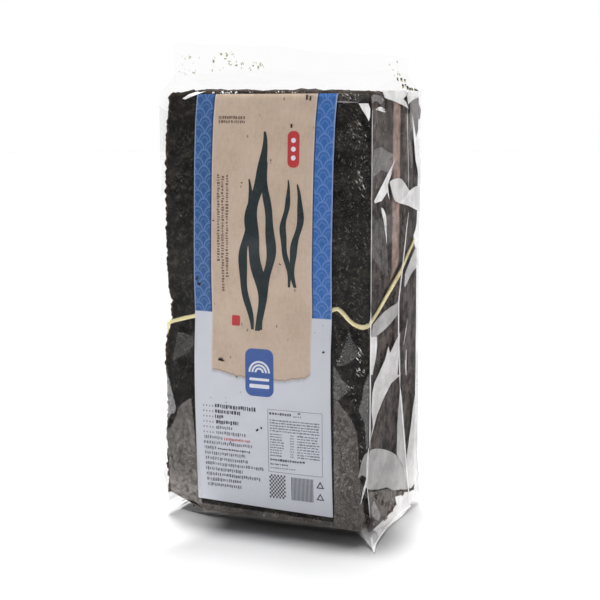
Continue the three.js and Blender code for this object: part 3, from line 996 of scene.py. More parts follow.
# %% [markdown]
# Clear film has almost no colour of its own. What shows is what it mirrors: a few parts in a hundred straight
# on, and much more at a glancing angle, counted twice because film has two faces. The finish lets light
# straight through and mixes in a mirror by that angle, which keeps lamps shining on the nori behind it. Two
# attributes, milk and shine, say where the film is cloudy and how much of the mirror it keeps.

# %% Film finish


def mirror_share(tree, scale):
    facing = add(tree, "ShaderNodeLayerWeight", Blend=0.5).outputs["Facing"]
    one_face = calc(tree, "MULTIPLY_ADD", calc(tree, "POWER", facing, 5.0), 0.96, 0.04)
    both = calc(tree, "DIVIDE", calc(tree, "MULTIPLY", one_face, 2.0), calc(tree, "ADD", one_face, 1.0))
    return calc(tree, "MULTIPLY", both, scale)


def film_finish(name, milk_source, shine, ripple):
    finish, tree, shader = new_finish(name)
    tree.nodes.remove(shader)
    slow = calc(tree, "MULTIPLY", speckle(tree, place(tree, (1, 1, 0.5)), 130.0, 2.0), 0.8)
    quick = calc(tree, "MULTIPLY", speckle(tree, place(tree), 520.0, 2.0), 0.2)
    ripples = calc(tree, "ADD", slow, quick)
    normal = bumped(tree, ripples, ripple, 0.001)
    clear = add(tree, "ShaderNodeBsdfTransparent", Color=(0.995, 0.995, 0.995, 1)).outputs[0]
    mirror = add(tree, "ShaderNodeBsdfGlossy", Color=(1, 1, 1, 1), Roughness=0.05, Normal=normal)
    share, milk_tone = milk_source(tree)
    milk = add(tree, "ShaderNodeBsdfDiffuse", Color=milk_tone).outputs[0]
    body = add(tree, "ShaderNodeMixShader", Fac=share)
    wire(tree, clear, body.inputs[1])
    wire(tree, milk, body.inputs[2])
    skin = add(tree, "ShaderNodeMixShader", Fac=mirror_share(tree, shine(tree)))
    wire(tree, body.outputs[0], skin.inputs[1])
    wire(tree, mirror.outputs[0], skin.inputs[2])
    wire(tree, skin.outputs[0], tree.nodes["Material Output"].inputs["Surface"])
    print(name, "nodes:", len(tree.nodes))
    return finish


MILK, SHINE = "milk", "shine"
MILK_COLD = (0.96, 0.95, 0.95, 1)


def skin_mark(tree, name):
    return add(tree, "ShaderNodeAttribute", {"attribute_name": name}).outputs["Fac"]


def faint_milk(tree):
    cloud = ramp(tree, speckle(tree, place(tree), 90.0, 4.0), 0.35, 0.75)
    haze = calc(tree, "MULTIPLY", cloud, 0.012)
    clouded = calc(tree, "MULTIPLY", skin_mark(tree, MILK), calc(tree, "MULTIPLY_ADD", cloud, 0.6, 0.7))
    return calc(tree, "ADD", haze, clouded), MILK_COLD


def shine_mark(tree):
    return skin_mark(tree, SHINE)


film = film_finish("clear_film", faint_milk, shine_mark, 0.3)

# %% [markdown]
# The film is one closed skin. A block with a fine grid is moved onto the walls, its top is drawn up into two
# slopes and a thin standing flap, its base is flattened, and each bottom corner is pulled out into an ear.
# These are the same rules as the solid's, only finer.

# %% Film: top, base and ears
ROOF_RISE, FLAP_RISE, FLAP_TILT = 8.0, 11.0, 4.0
FLAP_SHARE, FLAP_THIN = 0.05, 0.3
FLAP_WAVE, FLAP_WAVES, FLAP_FLARE = 2.5, 1.5, 2.5
FOOT_SHARE_X, FOOT_SHARE_Y = 0.85, 0.75
EAR_OUT = (8.0, 14.0)
EAR_LIFT = 0.4
EAR_REACH = (5.5, 42.0, 26.0)
EAR_SHARPNESS, EAR_FULLNESS = 1.5, 0.55
SHORT_EAR = 0.25
ROW_SPREAD = 1.9


def roof_point(width_share, x, y, share):
    near = near_gusset(width_share, share)
    ridge_y = gusset_share(width_share) * half_depth_at(x, SHOULDER, 1)
    flap = between((near - (1 - FLAP_SHARE)) / FLAP_SHARE, 0, 1)
    z = SHOULDER + ROOF_RISE * min(1.0, near / (1 - FLAP_SHARE)) + flap * (FLAP_RISE
                                                                           - FLAP_TILT * width_share)
    if flap > 0:
        y = ridge_y + (y - ridge_y) * FLAP_THIN
        y += flap * FLAP_WAVE * math.sin(FLAP_WAVES * math.pi * width_share)
        x += flap * FLAP_FLARE * width_share
    return Vector((x, y, z))


def base_height(width_share, depth_share):
    past = max((abs(width_share) - FOOT_SHARE_X) / (1 - FOOT_SHARE_X),
               (abs(depth_share) - FOOT_SHARE_Y) / (1 - FOOT_SHARE_Y))
    return FOOT * ease(past, 0, 1) + EAR_LIFT / 2


def ear_pull(width_share, depth_share, z):
    near_x = between(1 - (1 - abs(width_share)) * HALF_WIDTH / EAR_REACH[0], 0, 1)
    near_y = between(1 - (1 - abs(depth_share)) * HALF_DEPTH / EAR_REACH[1], 0, 1)
    near_z = between(1 - (z - FOOT) / EAR_REACH[2], 0, 1)
    return near_x**EAR_FULLNESS * (near_y * near_z) ** EAR_SHARPNESS


print("flap height above the floor in mm:", SHOULDER + ROOF_RISE + FLAP_RISE)

# %% [markdown]
# Film that has been handled keeps straight folds. Two kinds are made here. A tent is one fold in a known
# place, highest on its line and falling evenly to both sides. The rest is a sum of zigzags that run in
# different directions: their flat slopes meet at sharp lines, and that is what makes film flash in patches.

# %% Film: folds
SIDE_TENTS = (
    ((-34, 203), (12, 160), 1.8, 16),
    ((36, 186), (13, 161), 1.6, 12),
    ((10, 98), (-34, 46), 1.8, 13),
    ((22, 70), (26, 14), 1.8, 12),
)
FRONT_TENTS = (
    ((44.5, 96), (43.0, 16), 0.7, 6),
    ((45.0, 205), (52.0, 186), 0.7, 6),
    ((-45.0, 92), (-47.5, 20), 0.5, 5),
)
ZIGZAGS = ((0.35, 38.0, 0.9), (2.2, 27.0, 0.55), (1.15, 58.0, 1.1))
ON_WALL = 0.999
FRONT_ZIGZAG = 0.4


def tent(point, fold):
    (ax, ay), (bx, by), height, width = fold
    dx, dy = bx - ax, by - ay
    t = between(((point[0] - ax) * dx + (point[1] - ay) * dy) / (dx * dx + dy * dy), 0, 1)
    away = math.hypot(point[0] - ax - t * dx, point[1] - ay - t * dy)
    return height * max(0.0, 1 - away / width)


def zigzag(a, b, seed):
    total = 0.0
    for index, (angle, period, size) in enumerate(ZIGZAGS):
        bend = 8 * noise.noise(Vector((a * 0.013, b * 0.013, seed + index)))
        t = (a * math.cos(angle) + b * math.sin(angle) + bend) / period + seed * 0.37
        total += size * 2 * abs(t - math.floor(t + 0.5))
    return total * ease(noise.noise(Vector((a * 0.02, b * 0.02, seed))), -0.35, 0.35)


def lift_at(c, point):
    rim = 1 - abs(c.z) ** 10
    if abs(c.x) > ON_WALL:
        rise = max(tent((point.y, point.z), fold) for fold in SIDE_TENTS)
        kept = 1.0 if c.x > 0 else ease(c.y, -0.9, 0.2)
        rise = (rise + zigzag(point.y, point.z, 3.0 + c.x)) * kept
        return Vector((math.copysign(rise * rim * (1 - abs(c.y) ** 8), c.x), 0, 0))
    if abs(c.y) > ON_WALL:
        rise = max(tent((point.x, point.z), fold) for fold in FRONT_TENTS)
        rise += FRONT_ZIGZAG * zigzag(point.x, point.z, 7.0 + c.y)
        return Vector((0, math.copysign(rise * rim * (1 - abs(c.x) ** 8), c.y), 0))
    return Vector((0, 0, 0))


print("tents on a side and on the front:", len(SIDE_TENTS), len(FRONT_TENTS))

# %% [markdown]
# Now the skin is placed. Each point of the block goes onto a wall, and is then drawn towards the tip of the
# nearest ear. The ears at the front right and the back left are long, and the other two are folded short. The
# same function says how much each point shines and how milky it is.

# %% Build the film
GRID_FILM = (79, 59, 215)
TOP_SHINE, EAR_SHINE, SLACK_SHINE, SIDE_SHINE, BASE_SHINE = 0.06, 0.35, 0.05, 0.35, 0.1
EAR_MILK = 0.4
ROOF_ZIGZAG = 0.9


def film_point(c):
    spread = math.copysign(abs(c.y) ** ROW_SPREAD, c.y)
    share = spread + gusset_share(c.x) * (1 - abs(spread))
    wall_z = WALL_MIDDLE + WALL / 2 * math.sin(c.z * math.pi / 2)
    x = c.x * half_width_at(share, c.x)
    y = share * half_depth_at(x, wall_z, math.copysign(1, share))
    point = Vector((x, y, wall_z))
    if c.z > 1 - 1e-6:
        point = roof_point(c.x, x, y, share)
        point.z += ROOF_ZIGZAG * zigzag(x * 1.6, y * 1.6, 21.0) * (1 - max(abs(c.x), abs(c.y)) ** 8)
    elif c.z < -1 + 1e-6:
        point.z = base_height(c.x, share)
    else:
        point += lift_at(c, point)
    ear = 1.0 if x * y < 0 else SHORT_EAR
    tip_x = math.copysign(HALF_WIDTH + EAR_OUT[0] * ear, x)
    tip_y = math.copysign(HALF_DEPTH + EAR_OUT[1] * ear, y)
    pull = ear_pull(c.x, share, point.z)
    shine = (SIDE_SHINE if abs(c.x) > ON_WALL else 1.0) * blend(BASE_SHINE, 1.0, ease(point.z, 2.0, 10.0))
    shine = blend(shine, TOP_SHINE, ease(point.z, SHOULDER - 5, SHOULDER))
    shine = blend(shine, EAR_SHINE, ease(pull, 0.0, 0.3))
    slack_edge = ease(-c.x, 0.9, 1.0) * ease(-share, -0.4, 0.4)
    point = point.lerp(Vector((tip_x, tip_y, EAR_LIFT)), pull)
    milk = EAR_MILK * ear * ease(pull, 0.05, 0.4) * (1 - ease(point.z, 4.5, 9.0))
    return point, blend(shine, SLACK_SHINE, slack_edge), milk


skin_mesh = grid_block(GRID_FILM)
shine_layer = skin_mesh.verts.layers.float.new(SHINE)
milk_layer = skin_mesh.verts.layers.float.new(MILK)
for vert in skin_mesh.verts:
    vert.co, vert[shine_layer], vert[milk_layer] = film_point(vert.co.copy())
film_bag = make_piece("film_bag", skin_mesh, film, sharp=24)
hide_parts("bag")

# %% [markdown]
# Where film lies double, or a fold has been pressed flat, it looks milky. Most of these pieces also stand for
# light: where a fold faces the bright surround or the floor, its mirrored brightness is painted in as milk, a
# painted reflection. These places are modelled as pieces of film of their own, cut to the outline of each
# fold and laid against the wall. An outline is a few points, rounded where the fold is soft; the face between
# them is cut into strips so that it can follow the wall.

# %% Film: cutting a milky fold
VEIL = "veil"
STRIP = 3.0


def milk_mesh():
    bm = bmesh.new()
    return bm, bm.verts.layers.float.new(MILK), bm.verts.layers.float.new(VEIL)


def rounded_outline(points, steps=4):
    made = []
    count = len(points)
    for i in range(count):
        a, b, c, d = (Vector(points[(i + k) % count]) for k in (-1, 0, 1, 2))
        for step in range(steps):
            t = step / steps
            made.append(0.5 * (2 * b + (c - a) * t + (2 * a - 5 * b + 4 * c - d) * t**2
                               + (3 * b - a - 3 * c + d) * t**3))
    return made


def cut_fold(points, milk, soft, veil=0.1):
    bm, milk_layer, veil_layer = milk_mesh()
    outline = rounded_outline(points) if soft else [Vector(p) for p in points]
    corners = [bm.verts.new((p[0], 0.0, p[1])) for p in outline]
    bmesh.ops.contextual_create(bm, geom=corners)
    bmesh.ops.triangulate(bm, faces=bm.faces[:], ngon_method="EAR_CLIP")
    for axis, normal in ((0, (1, 0, 0)), (2, (0, 0, 1))):
        low, high = min(v.co[axis] for v in bm.verts), max(v.co[axis] for v in bm.verts)
        for step in range(1, int((high - low) / STRIP) + 1):
            spot_on = [0.0, 0.0, 0.0]
            spot_on[axis] = low + step * STRIP
            cut_across(bm, spot_on, normal)
    for vert in bm.verts:
        vert[milk_layer], vert[veil_layer] = milk, veil
    return bm


print("strip width in mm:", STRIP)

# %% [markdown]
# A bright line where two folds meet is a painted highlight: a narrow milky strip that tapers at both ends. A
# crease is a thin rod that is extruded along an edge of the film, in the same way as the straw; its milk is
# partly the thicker fold of film and partly a painted highlight along it.

# %% Film: lines and creases
TAPER_END, TAPER_STEP = 0.25, 0.4
ROD_POINTS = 6


def cut_line(points, width, milk):
    bm, milk_layer, _ = milk_mesh()
    dense = []
    for (ax, az), (bx, bz) in zip(points, points[1:]):
        steps = max(1, round(math.hypot(bx - ax, bz - az) / STRIP))
        dense += [Vector((blend(ax, bx, k / steps), blend(az, bz, k / steps))) for k in range(steps)]
    dense.append(Vector(points[-1]))
    bmesh.ops.create_grid(bm, x_segments=1, y_segments=len(dense) - 1, size=1)
    for vert in bm.verts:
        k = round((vert.co.y + 1) / 2 * (len(dense) - 1))
        ahead = dense[min(k + 1, len(dense) - 1)] - dense[max(k - 1, 0)]
        aside = Vector((ahead.y, -ahead.x)).normalized() * width / 2 * vert.co.x
        taper = min(1.0, TAPER_END + TAPER_STEP * min(k, len(dense) - 1 - k))
        vert.co = Vector((dense[k].x + aside.x * taper, 0.0, dense[k].y + aside.y * taper))
        vert[milk_layer] = milk
    return bm


def cut_crease(points, radius, milk):
    bm, milk_layer, _ = milk_mesh()
    ring = bmesh.ops.create_circle(bm, segments=ROD_POINTS, radius=1)["verts"]
    edges = bm.edges[:]
    for step, point in enumerate(points):
        if step:
            grown = bmesh.ops.extrude_edge_only(bm, edges=edges)["geom"]
            edges = [g for g in grown if isinstance(g, bmesh.types.BMEdge)]
            ring = [g for g in grown if isinstance(g, bmesh.types.BMVert)]
        ahead = (points[min(step + 1, len(points) - 1)] - points[max(step - 1, 0)]).normalized()
        out_way = ahead.orthogonal().normalized()
        aside = ahead.cross(out_way)
        for turn, vert in enumerate(ring):
            angle = math.tau * turn / len(ring)
            vert.co = point + radius * (math.cos(angle) * out_way + math.sin(angle) * aside)
    bmesh.ops.holes_fill(bm, edges=bm.edges[:])
    bmesh.ops.recalc_face_normals(bm, faces=bm.faces)
    for vert in bm.verts:
        vert[milk_layer] = milk
    return bm


print("lines and creases ready")

# %% [markdown]
# The outlines below are in millimetres: depth and height for a fold on a side, width and height for one on
# the front. The number after them is how milky the fold is, which for most folds is the brightness of a
# painted reflection, and the last word says whether its outline is soft. A veil is a wide stretch of film
# that clings to the sheets, so their felt shows in it; its milk is painted sheen, the haze of mirrored light
# from the floor and surround.

# %% Film: where the folds are
# Most of these folds are painted reflections, white bands and pockets and a grey dome where the film mirrors
# the surround; a few are film lying double.
SIDE_FOLDS = (
    (((-24, 208.7), (-20, 205.2), (-9.1, 203.9), (0.8, 202.4), (8.1, 201), (11.1, 200.3), (8.8, 202.2),
      (6.6, 203.6), (3.6, 205), (7.9, 206.9), (9, 209.2)), 0.86, False),
    (((11, 202.4), (13.9, 203.5), (19.9, 204.8), (30.5, 206.2), (35, 206.6), (35, 208.9), (9, 209.2),
      (8.6, 206.4), (9.5, 204.5)), 0.8, False),
    (((-36.4, 205.5), (-32.5, 206.6), (-24.6, 206.1), (-21.3, 204.3), (-25.9, 202.3), (-29.8, 203.8),
      (-35, 202.9)), 0.18, True),
    (((17.8, 197.9), (21.8, 192.1), (25.1, 186.3), (28.8, 190.6), (34.5, 191.1), (35.2, 165.4), (30.4, 167.5),
      (28, 171.6), (24.7, 175.6), (23, 180.5), (22.1, 183.9), (19.6, 191.2)), 0.98, False),
    (((-35, 134), (-35, 150), (-16, 137), (-4, 152), (-2, 140), (-14, 122)), 0.06, False),
    (((-31, 200.2), (-25.8, 201.2), (-20.4, 200.2), (-19.7, 198.5), (-24.4, 200),
      (-29.7, 199.6)), 0.85, True),
    (((-33.9, 182), (-24.8, 183.1), (-8.3, 179), (-13.8, 176.9), (-6.8, 173.8), (-16.4, 171.4),
      (-24.5, 172.7), (-33.7, 169.5)), 0.16, False),
    (((-6.2, 177.1), (-8.9, 173), (-13.6, 169), (-15.6, 165.4), (-16.2, 162.2), (-13.3, 158.3),
      (-17.5, 161.4), (-22.8, 158.5), (-31.4, 157.9), (-32.1, 159), (-25.6, 163.6), (-19, 168.3),
      (-12.3, 173.1)), 0.93, False),
    (((-13.5, 166.7), (-9.4, 167.7), (-1.7, 168), (1.9, 167.4), (14.6, 161.2), (3.7, 157.8), (-0.6, 156.1),
      (-6.3, 157.4), (-9.2, 160.4)), 0.68, False),
    (((14.6, 161.2), (22.9, 162.5), (30.6, 162.8), (34.6, 162.4), (35.1, 149.4), (28, 150.9), (14.1, 153.8),
      (-0.6, 156.1), (3.7, 157.8)), 0.84, False),
    (((-24.2, 155.2), (-20.6, 154.6), (-16.8, 149.3), (-16.2, 138), (-17.7, 142), (-20.4, 149.6),
      (-22.7, 153.2)), 0.8, True),
    (((-32.2, 102.4), (-27.3, 104.2), (-20, 106.2), (-11.9, 107.6), (-3.6, 108.3), (1.3, 110), (0, 103.4),
      (-9.5, 100), (-18.4, 97.8), (-25.6, 96.7), (-34, 96.2)), 0.42, False),
    (((-35, 97), (-27.6, 96.2), (-27, 92), (-28.3, 86.8), (-32.4, 79), (-34.5, 79.3),
      (-35.2, 84.5)), 0.72, False),
    (((-12.9, 89.3), (-10.6, 85.6), (-0.8, 92), (2.3, 93.7), (3.7, 72.6), (-0.8, 73.3), (-8.8, 70.7),
      (-18.4, 65.1), (-25.9, 59.3), (-31.4, 54.5), (-35, 48), (-33.4, 62.2), (-32.5, 70.6), (-30, 74.7),
      (-24.5, 78.3), (-17, 83.5)), 0.68, False),
    (((10, 122.5), (27.6, 132.3), (30.3, 128.3), (33.4, 122.6), (26.4, 121.8), (18.2, 119.5), (10.3, 115.6),
      (7.4, 115.5), (8.5, 120)), 0.55, True),
    (((14.4, 99), (11, 94.4), (6.9, 87), (7.7, 86.9), (12, 94)), 0.7, False),
    (((11.3, 83.8), (9.6, 78.7), (11.5, 70.9), (12.8, 70.7), (11.2, 78.5), (12.7, 83.3)), 0.7, False),
    (((-38.6, 26.6), (-39.5, 31), (-37.5, 36), (-36, 42.4), (-32.7, 43.7), (-24.6, 42.3), (-13.8, 39),
      (-1.3, 33.7), (6.8, 26.5), (13.3, 19), (17.4, 12), (7.2, 14.2), (-5.3, 17.2), (-13.3, 20.6),
      (-25, 22.7)), 0.4, True),
    (((-0.7, 34), (0, 50.4), (2.5, 63.7), (4, 63.4), (7, 49), (11.8, 32.3), (18.3, 11.7), (15.6, 15),
      (7.9, 26)), 0.5, False),
    (((35.3, 62.3), (27.2, 54.6), (22.2, 43.5), (16, 31.3), (15.3, 25.8), (18.9, 12.7), (27, 10.7),
      (35.4, 15.3), (35.4, 35), (35.2, 48)), 0.66, True),
    (((-29.5, 18.3), (-21.1, 9.1), (-22.4, 6.6), (-30.7, 9.9), (-32.2, 15.7)), 0.24, False),
    (((-30.6, 4.6), (-22.6, 5.1), (-12.4, 6.2), (-5.8, 6.6), (-0.4, 8.8), (-2.2, 13), (4.9, 11.8),
      (13.2, 11.4), (19, 9.6), (28, 8.4), (34, 5), (31, 2.6), (14.3, 0.6), (-5, 0.3),
      (-22, 0.3)), 0.8, False),
)
# Painted sheen: each side veil is the haze of mirrored light over the sheets.
SIDE_VEILS = (
    (((-37, 24), (-25, 22), (-13, 20), (-5, 17), (14, 10.8), (5.5, 6.6), (-13.4, 5),
      (-30, 5.8)), 0.13, False),
    (((6, 198), (17, 199), (20, 176), (14, 164), (4, 170)), 0.06, False),
    (((-35, 202), (-24, 198), (-14, 201), (-7, 198), (-7, 180), (-18, 164), (-35, 158)), 0.06, False),
)
# The first front fold, a white triangle, is a painted highlight; the others are fainter painted reflections
# and double film.
FRONT_FOLDS = (
    (((46, 202.7), (50.6, 202.7), (51.6, 200.2), (51.4, 196.6), (50.9, 194.8), (49.6, 197.2),
      (47.7, 199.8)), 1.0, False),
    (((41.5, 99.7), (43.7, 95), (46, 91), (45.3, 87), (41.6, 84.2), (36.7, 82.8), (38, 87.5),
      (40.5, 93.7)), 0.07, True),
    (((35, 83), (39.5, 76), (43.4, 73), (40.3, 69), (36.8, 66), (35, 70)), 0.11, False),
    (((51.9, 43.6), (50, 41.7), (48.6, 38.6), (47.7, 34), (46.9, 30.4), (48.8, 32), (51, 31),
      (51.6, 36)), 0.34, False),
    (((49.2, 73), (51.9, 80.3), (51.9, 45), (50.8, 43.5), (50, 56.6), (46.9, 62.2),
      (48.5, 67.6)), 0.13, False),
    (((-53.8, 72.6), (-52.7, 69.7), (-51.1, 63.8), (-49.3, 58), (-48.8, 55), (-49.6, 52.4), (-51.3, 52.3),
      (-53, 49.6), (-54, 51.5), (-54, 61.1)), 0.26, False),
    (((-43.3, 205.2), (-41.7, 204.7), (-34.7, 208), (-31.6, 208.6), (-35.8, 208.4),
      (-40.1, 207.1)), 0.95, False),
)
# Painted sheen: the front veils are the haze of mirrored floor light over the lower front, the last one a
# grey band below the stack.
FRONT_VEILS = (
    (((-48, 92), (-44.6, 93), (-41, 91.9), (-38.4, 93.8), (-38.4, 87.5), (-41.6, 83), (-46, 80.7),
      (-49.6, 78.6), (-50.6, 80.6), (-49, 86)), 0.06, True),
    (((34.8, 203.6), (39.1, 203.3), (43.9, 203.1), (47.3, 203.8), (50.5, 205.5), (50.5, 207),
      (34.8, 207.4)), 0.05, False),
    (((34.9, 71), (34.9, 4.8), (52, 4), (52, 21), (48.8, 23.5), (47.6, 27), (47.5, 33), (47, 44), (46.2, 52),
      (43.5, 58), (40.3, 62), (36.8, 66)), 0.125, False),
    (((-47.9, 55.1), (-44.5, 58.4), (-40, 61), (-39.4, 9.4), (-35, 8.9), (-35, 6.4), (-44, 8.8),
      (-52.4, 12.6), (-53, 20), (-53.4, 30), (-55.4, 36), (-55.4, 42), (-54, 44), (-52, 45.2),
      (-48.2, 52)), 0.175, False),
    (((-35, 8.8), (34.9, 7.6), (34.9, 4.2), (-35, 4.3)), 0.1, False),
)
# Painted highlights: bright lines where folds meet and down the corner.
SIDE_LINES = (
    (((8.2, 201.2), (9.4, 190.4), (11.3, 176.1), (12.5, 162.1)), 0.9, 0.65),
    (((13, 151), (9.4, 142), (5, 128), (2.4, 119), (-0.5, 109), (-0.3, 94), (2, 72.5), (2.4, 67)), 1.6, 0.75),
    (((2.4, 67), (7, 49), (11.8, 32.3), (18.3, 11.7), (20.3, 6)), 2.0, 0.85),
    (((-35.3, 200), (-35.3, 110)), 0.8, 0.6),
    (((-35.3, 110), (-35.4, 84), (-35.4, 52), (-35.3, 45)), 1.4, 0.75),
)
# Painted highlights on the front: bright lines along the top and the right corner.
FRONT_LINES = (
    (((34.8, 203.5), (40, 203.3), (46, 203.2)), 0.5, 0.35),
    (((52, 45), (51.5, 38), (51.4, 30.3), (49.9, 24.8), (48.3, 18)), 0.9, 0.75),
    (((51.2, 29), (52, 22), (53, 12)), 0.5, 0.6),
)
print("folds:", len(SIDE_FOLDS) + len(FRONT_FOLDS), "lines:", len(SIDE_LINES) + len(FRONT_LINES))

# %% [markdown]
# The milk of a fold, partly film lying double and partly painted reflection, varies in wisps, and in a veil,
# where it is painted sheen, it also follows the felt of the sheets and is warmer. Both come from attributes,
# so that one finish serves every fold, line and crease.

# %% Milky film finish
MILKY_SHINE = 0.25
PAINTED_SHEEN_WARM = (0.86, 0.79, 0.74, 1)


def milk_and_reflection_mark(tree):
    veil = skin_mark(tree, VEIL)
    cloud = ramp(tree, speckle(tree, place(tree), 90.0, 3.0), 0.3, 0.7)
    wisps = calc(tree, "MULTIPLY_ADD", cloud, 0.3, 0.85)
    felt = ramp(tree, speckle(tree, place(tree), 480.0, 5.0, 0.75), 0.38, 0.62)
    woven = calc(tree, "MULTIPLY", calc(tree, "MULTIPLY_ADD", felt, 0.8, 0.6), wisps)
    plain_part = calc(tree, "MULTIPLY", wisps, calc(tree, "SUBTRACT", 1.0, veil))
    both = calc(tree, "ADD", plain_part, calc(tree, "MULTIPLY", woven, veil))
    return calc(tree, "MULTIPLY", skin_mark(tree, MILK), both), tint(tree, veil, MILK_COLD, PAINTED_SHEEN_WARM)


def even_shine(tree):
    return MILKY_SHINE


milk_and_reflection_film = film_finish("milky_film_and_painted_reflection", milk_and_reflection_mark, even_shine, 0.2)

# %% [markdown]
# Tiny slivers of film flash in clusters; each flash is a painted highlight, a sliver of milky film. A cluster
# is a middle, a spread, a count, a longest sliver and a brightest one. The slivers are cut like the folds, at
# places drawn from a seeded generator. A fold cut flat is laid on a wall by moving its points: a veil lies
# closest to the film, then folds, lines and slivers, so that none of them share a face.

# %% Film: slivers and laying on the walls
FOLD_LIFT, VEIL_LIFT, LINE_LIFT, GLINT_LIFT = 0.25, 0.125, 0.4, 0.5
# Painted highlights: every sliver below is a small flash of the film, painted as milk.
SIDE_GLINTS = (
    ((-22, 128), (6, 18), 14, 0.9, 0.65), ((-12, 118), (3, 10), 8, 0.9, 0.65),
    ((10, 118), (4, 9), 8, 0.8, 0.6), ((-28, 92), (2, 9), 5, 0.7, 0.6), ((8, 82), (3, 14), 6, 0.8, 0.6),
    ((-20, 60), (6, 8), 4, 0.7, 0.6), ((-8, 12), (7, 3), 6, 0.7, 0.6), ((-24, 192), (8, 10), 18, 1.2, 0.45),
)
FRONT_GLINTS = (
    ((46, 190), (5, 10), 40, 1.8, 0.28), ((47.5, 168), (3, 10), 30, 1.6, 0.28),
    ((43, 150), (6, 22), 30, 1.1, 0.22), ((47, 170), (2, 20), 8, 1.6, 0.7),
    ((46.5, 88), (3, 4), 14, 1.6, 1.0), ((47.5, 80), (3, 2.5), 14, 1.7, 1.0), ((38, 90), (2, 6), 8, 0.8, 0.5),
    ((44.5, 72), (3, 4), 9, 0.8, 0.6), ((48.5, 50), (1.6, 14), 14, 0.7, 0.5),
    ((8, 6.4), (16, 0.8), 6, 0.6, 0.5), ((-20, 208), (9, 0.8), 26, 0.9, 0.7),
    ((4, 207.8), (14, 0.6), 14, 0.9, 0.7), ((42, 205.6), (6, 1.6), 18, 1.3, 0.6),
    ((-46, 150), (4, 30), 10, 0.8, 0.3),
)


def lay_on_side(bm, side, lift=FOLD_LIFT):
    for vert in bm.verts:
        y, z = vert.co.x, vert.co.z
        share = between(y / half_depth_at(HALF_WIDTH, z, math.copysign(1, y)), -1, 1)
        vert.co = Vector((side * (half_width_at(share, side) + lift), y, z))
    return bm


def lay_on_face(bm, side, lift=FOLD_LIFT):
    for vert in bm.verts:
        x, z = vert.co.x, vert.co.z
        vert.co = Vector((x, side * (half_depth_at(x, z, side) + lift), z))
    return bm


def glint(cluster):
    (a, b), (spread_a, spread_b), _, longest, brightest = cluster
    middle = Vector((a + draw.gauss(0, 0.5) * spread_a, b + draw.gauss(0, 0.5) * spread_b))
    lean = draw.uniform(0.6, 1.35)
    along = Vector((math.cos(lean), -math.sin(lean)))
    aside = Vector((along.y, -along.x)) * draw.uniform(0.1, 0.28)
    along *= draw.uniform(0.3, longest)
    outline = [middle - along, middle + aside, middle + along * draw.uniform(0.5, 1.1), middle - aside]
    return cut_fold([tuple(p) for p in outline], draw.uniform(0.1, brightest), False)


print("slivers:", sum(cluster[2] for cluster in SIDE_GLINTS + FRONT_GLINTS))

# %% [markdown]
# The two sides of the bag were pressed alike, so every fold is laid on the right side and mirrored on the
# left, and the front's folds once more on the back. On the left they are fainter, and the front of that side
# has none, because the film hangs slack there. Creases follow the two long ears: up the corner, along the
# front and along the side.

# %% Build the milky folds
LEFT_FOLDS_BEHIND, LEFT_MILK = -24.0, 0.4


def corner_edge(sign_x, sign_y, walk):
    return [film_point(Vector((sign_x * a, sign_y * b, c)))[0] for a, b, c in walk]


UP_THE_CORNER = [(1, 1, -1 + 0.02 * k) for k in range(14)]
ALONG_THE_FRONT = [(1 - 0.015 * k, 1, -1) for k in range(7)]
ALONG_THE_SIDE = [(1, 1 - 0.05 * k, -1) for k in range(30)]
# Creases: milky rods, partly thicker folded film and partly painted highlights along the ear edges.
CREASES = ((UP_THE_CORNER, 0.4, 0.6), (ALONG_THE_FRONT, 0.35, 0.5), (ALONG_THE_SIDE, 0.5, 0.75))
LEFT_STEPS = 14

# Every milky piece below is painted light as well as film: painted reflections, highlights and sheen.
folds, _, _ = milk_mesh()
for sign_x, sign_y in ((1, -1), (-1, 1)):
    for walk, radius, milk in CREASES:
        seen = walk if sign_x > 0 else walk[:LEFT_STEPS]
        merge(folds, cut_crease(corner_edge(sign_x, sign_y, seen), radius, milk))
for side in (1, -1):
    strength = 1.0 if side > 0 else LEFT_MILK
    for outline, milk, soft in SIDE_FOLDS:
        if side > 0 or min(y for y, z in outline) > LEFT_FOLDS_BEHIND:
            merge(folds, lay_on_side(cut_fold(outline, milk * strength, soft), side))
    for outline, milk, soft in SIDE_VEILS:
        merge(folds, lay_on_side(cut_fold(outline, milk, soft, 1.0), side, VEIL_LIFT))
    for points, width, milk in SIDE_LINES:
        if side > 0 or points[0][0] > LEFT_FOLDS_BEHIND:
            merge(folds, lay_on_side(cut_line(points, width, milk * strength), side, LINE_LIFT))
    for outline, milk, soft in FRONT_VEILS:
        merge(folds, lay_on_face(cut_fold(outline, milk, soft, 1.0), -side, VEIL_LIFT))
    for outline, milk, soft in FRONT_FOLDS:
        merge(folds, lay_on_face(cut_fold(outline, milk, soft), -side))
    for points, width, milk in FRONT_LINES:
        merge(folds, lay_on_face(cut_line(points, width, milk), -side, LINE_LIFT))
    for cluster in SIDE_GLINTS:
        for _ in range(cluster[2]):
            merge(folds, lay_on_side(glint(cluster), side, GLINT_LIFT))
    for cluster in FRONT_GLINTS:
        for _ in range(cluster[2]):
            merge(folds, lay_on_face(glint(cluster), -side, GLINT_LIFT))
make_piece("film_folds", folds, milk_and_reflection_film)

# %% [markdown]
# Nori sheds. Small flakes lie between the film and the label, gather in the closed top and stick out of the
# torn left edge. The ones in the top are thin and lit from behind, so they look olive and brown instead of
# black; that backlit glow is painted into their colour. Each flake is a bent little plate of a few faces,
# placed by a seeded generator.

# %% Crumbs: finish and shape
flake, tree, shader = new_finish("nori_flake")
grain = speckle(tree, place(tree), 900.0, 3.0)
which = speckle(tree, place(tree), 240.0, 1.0)
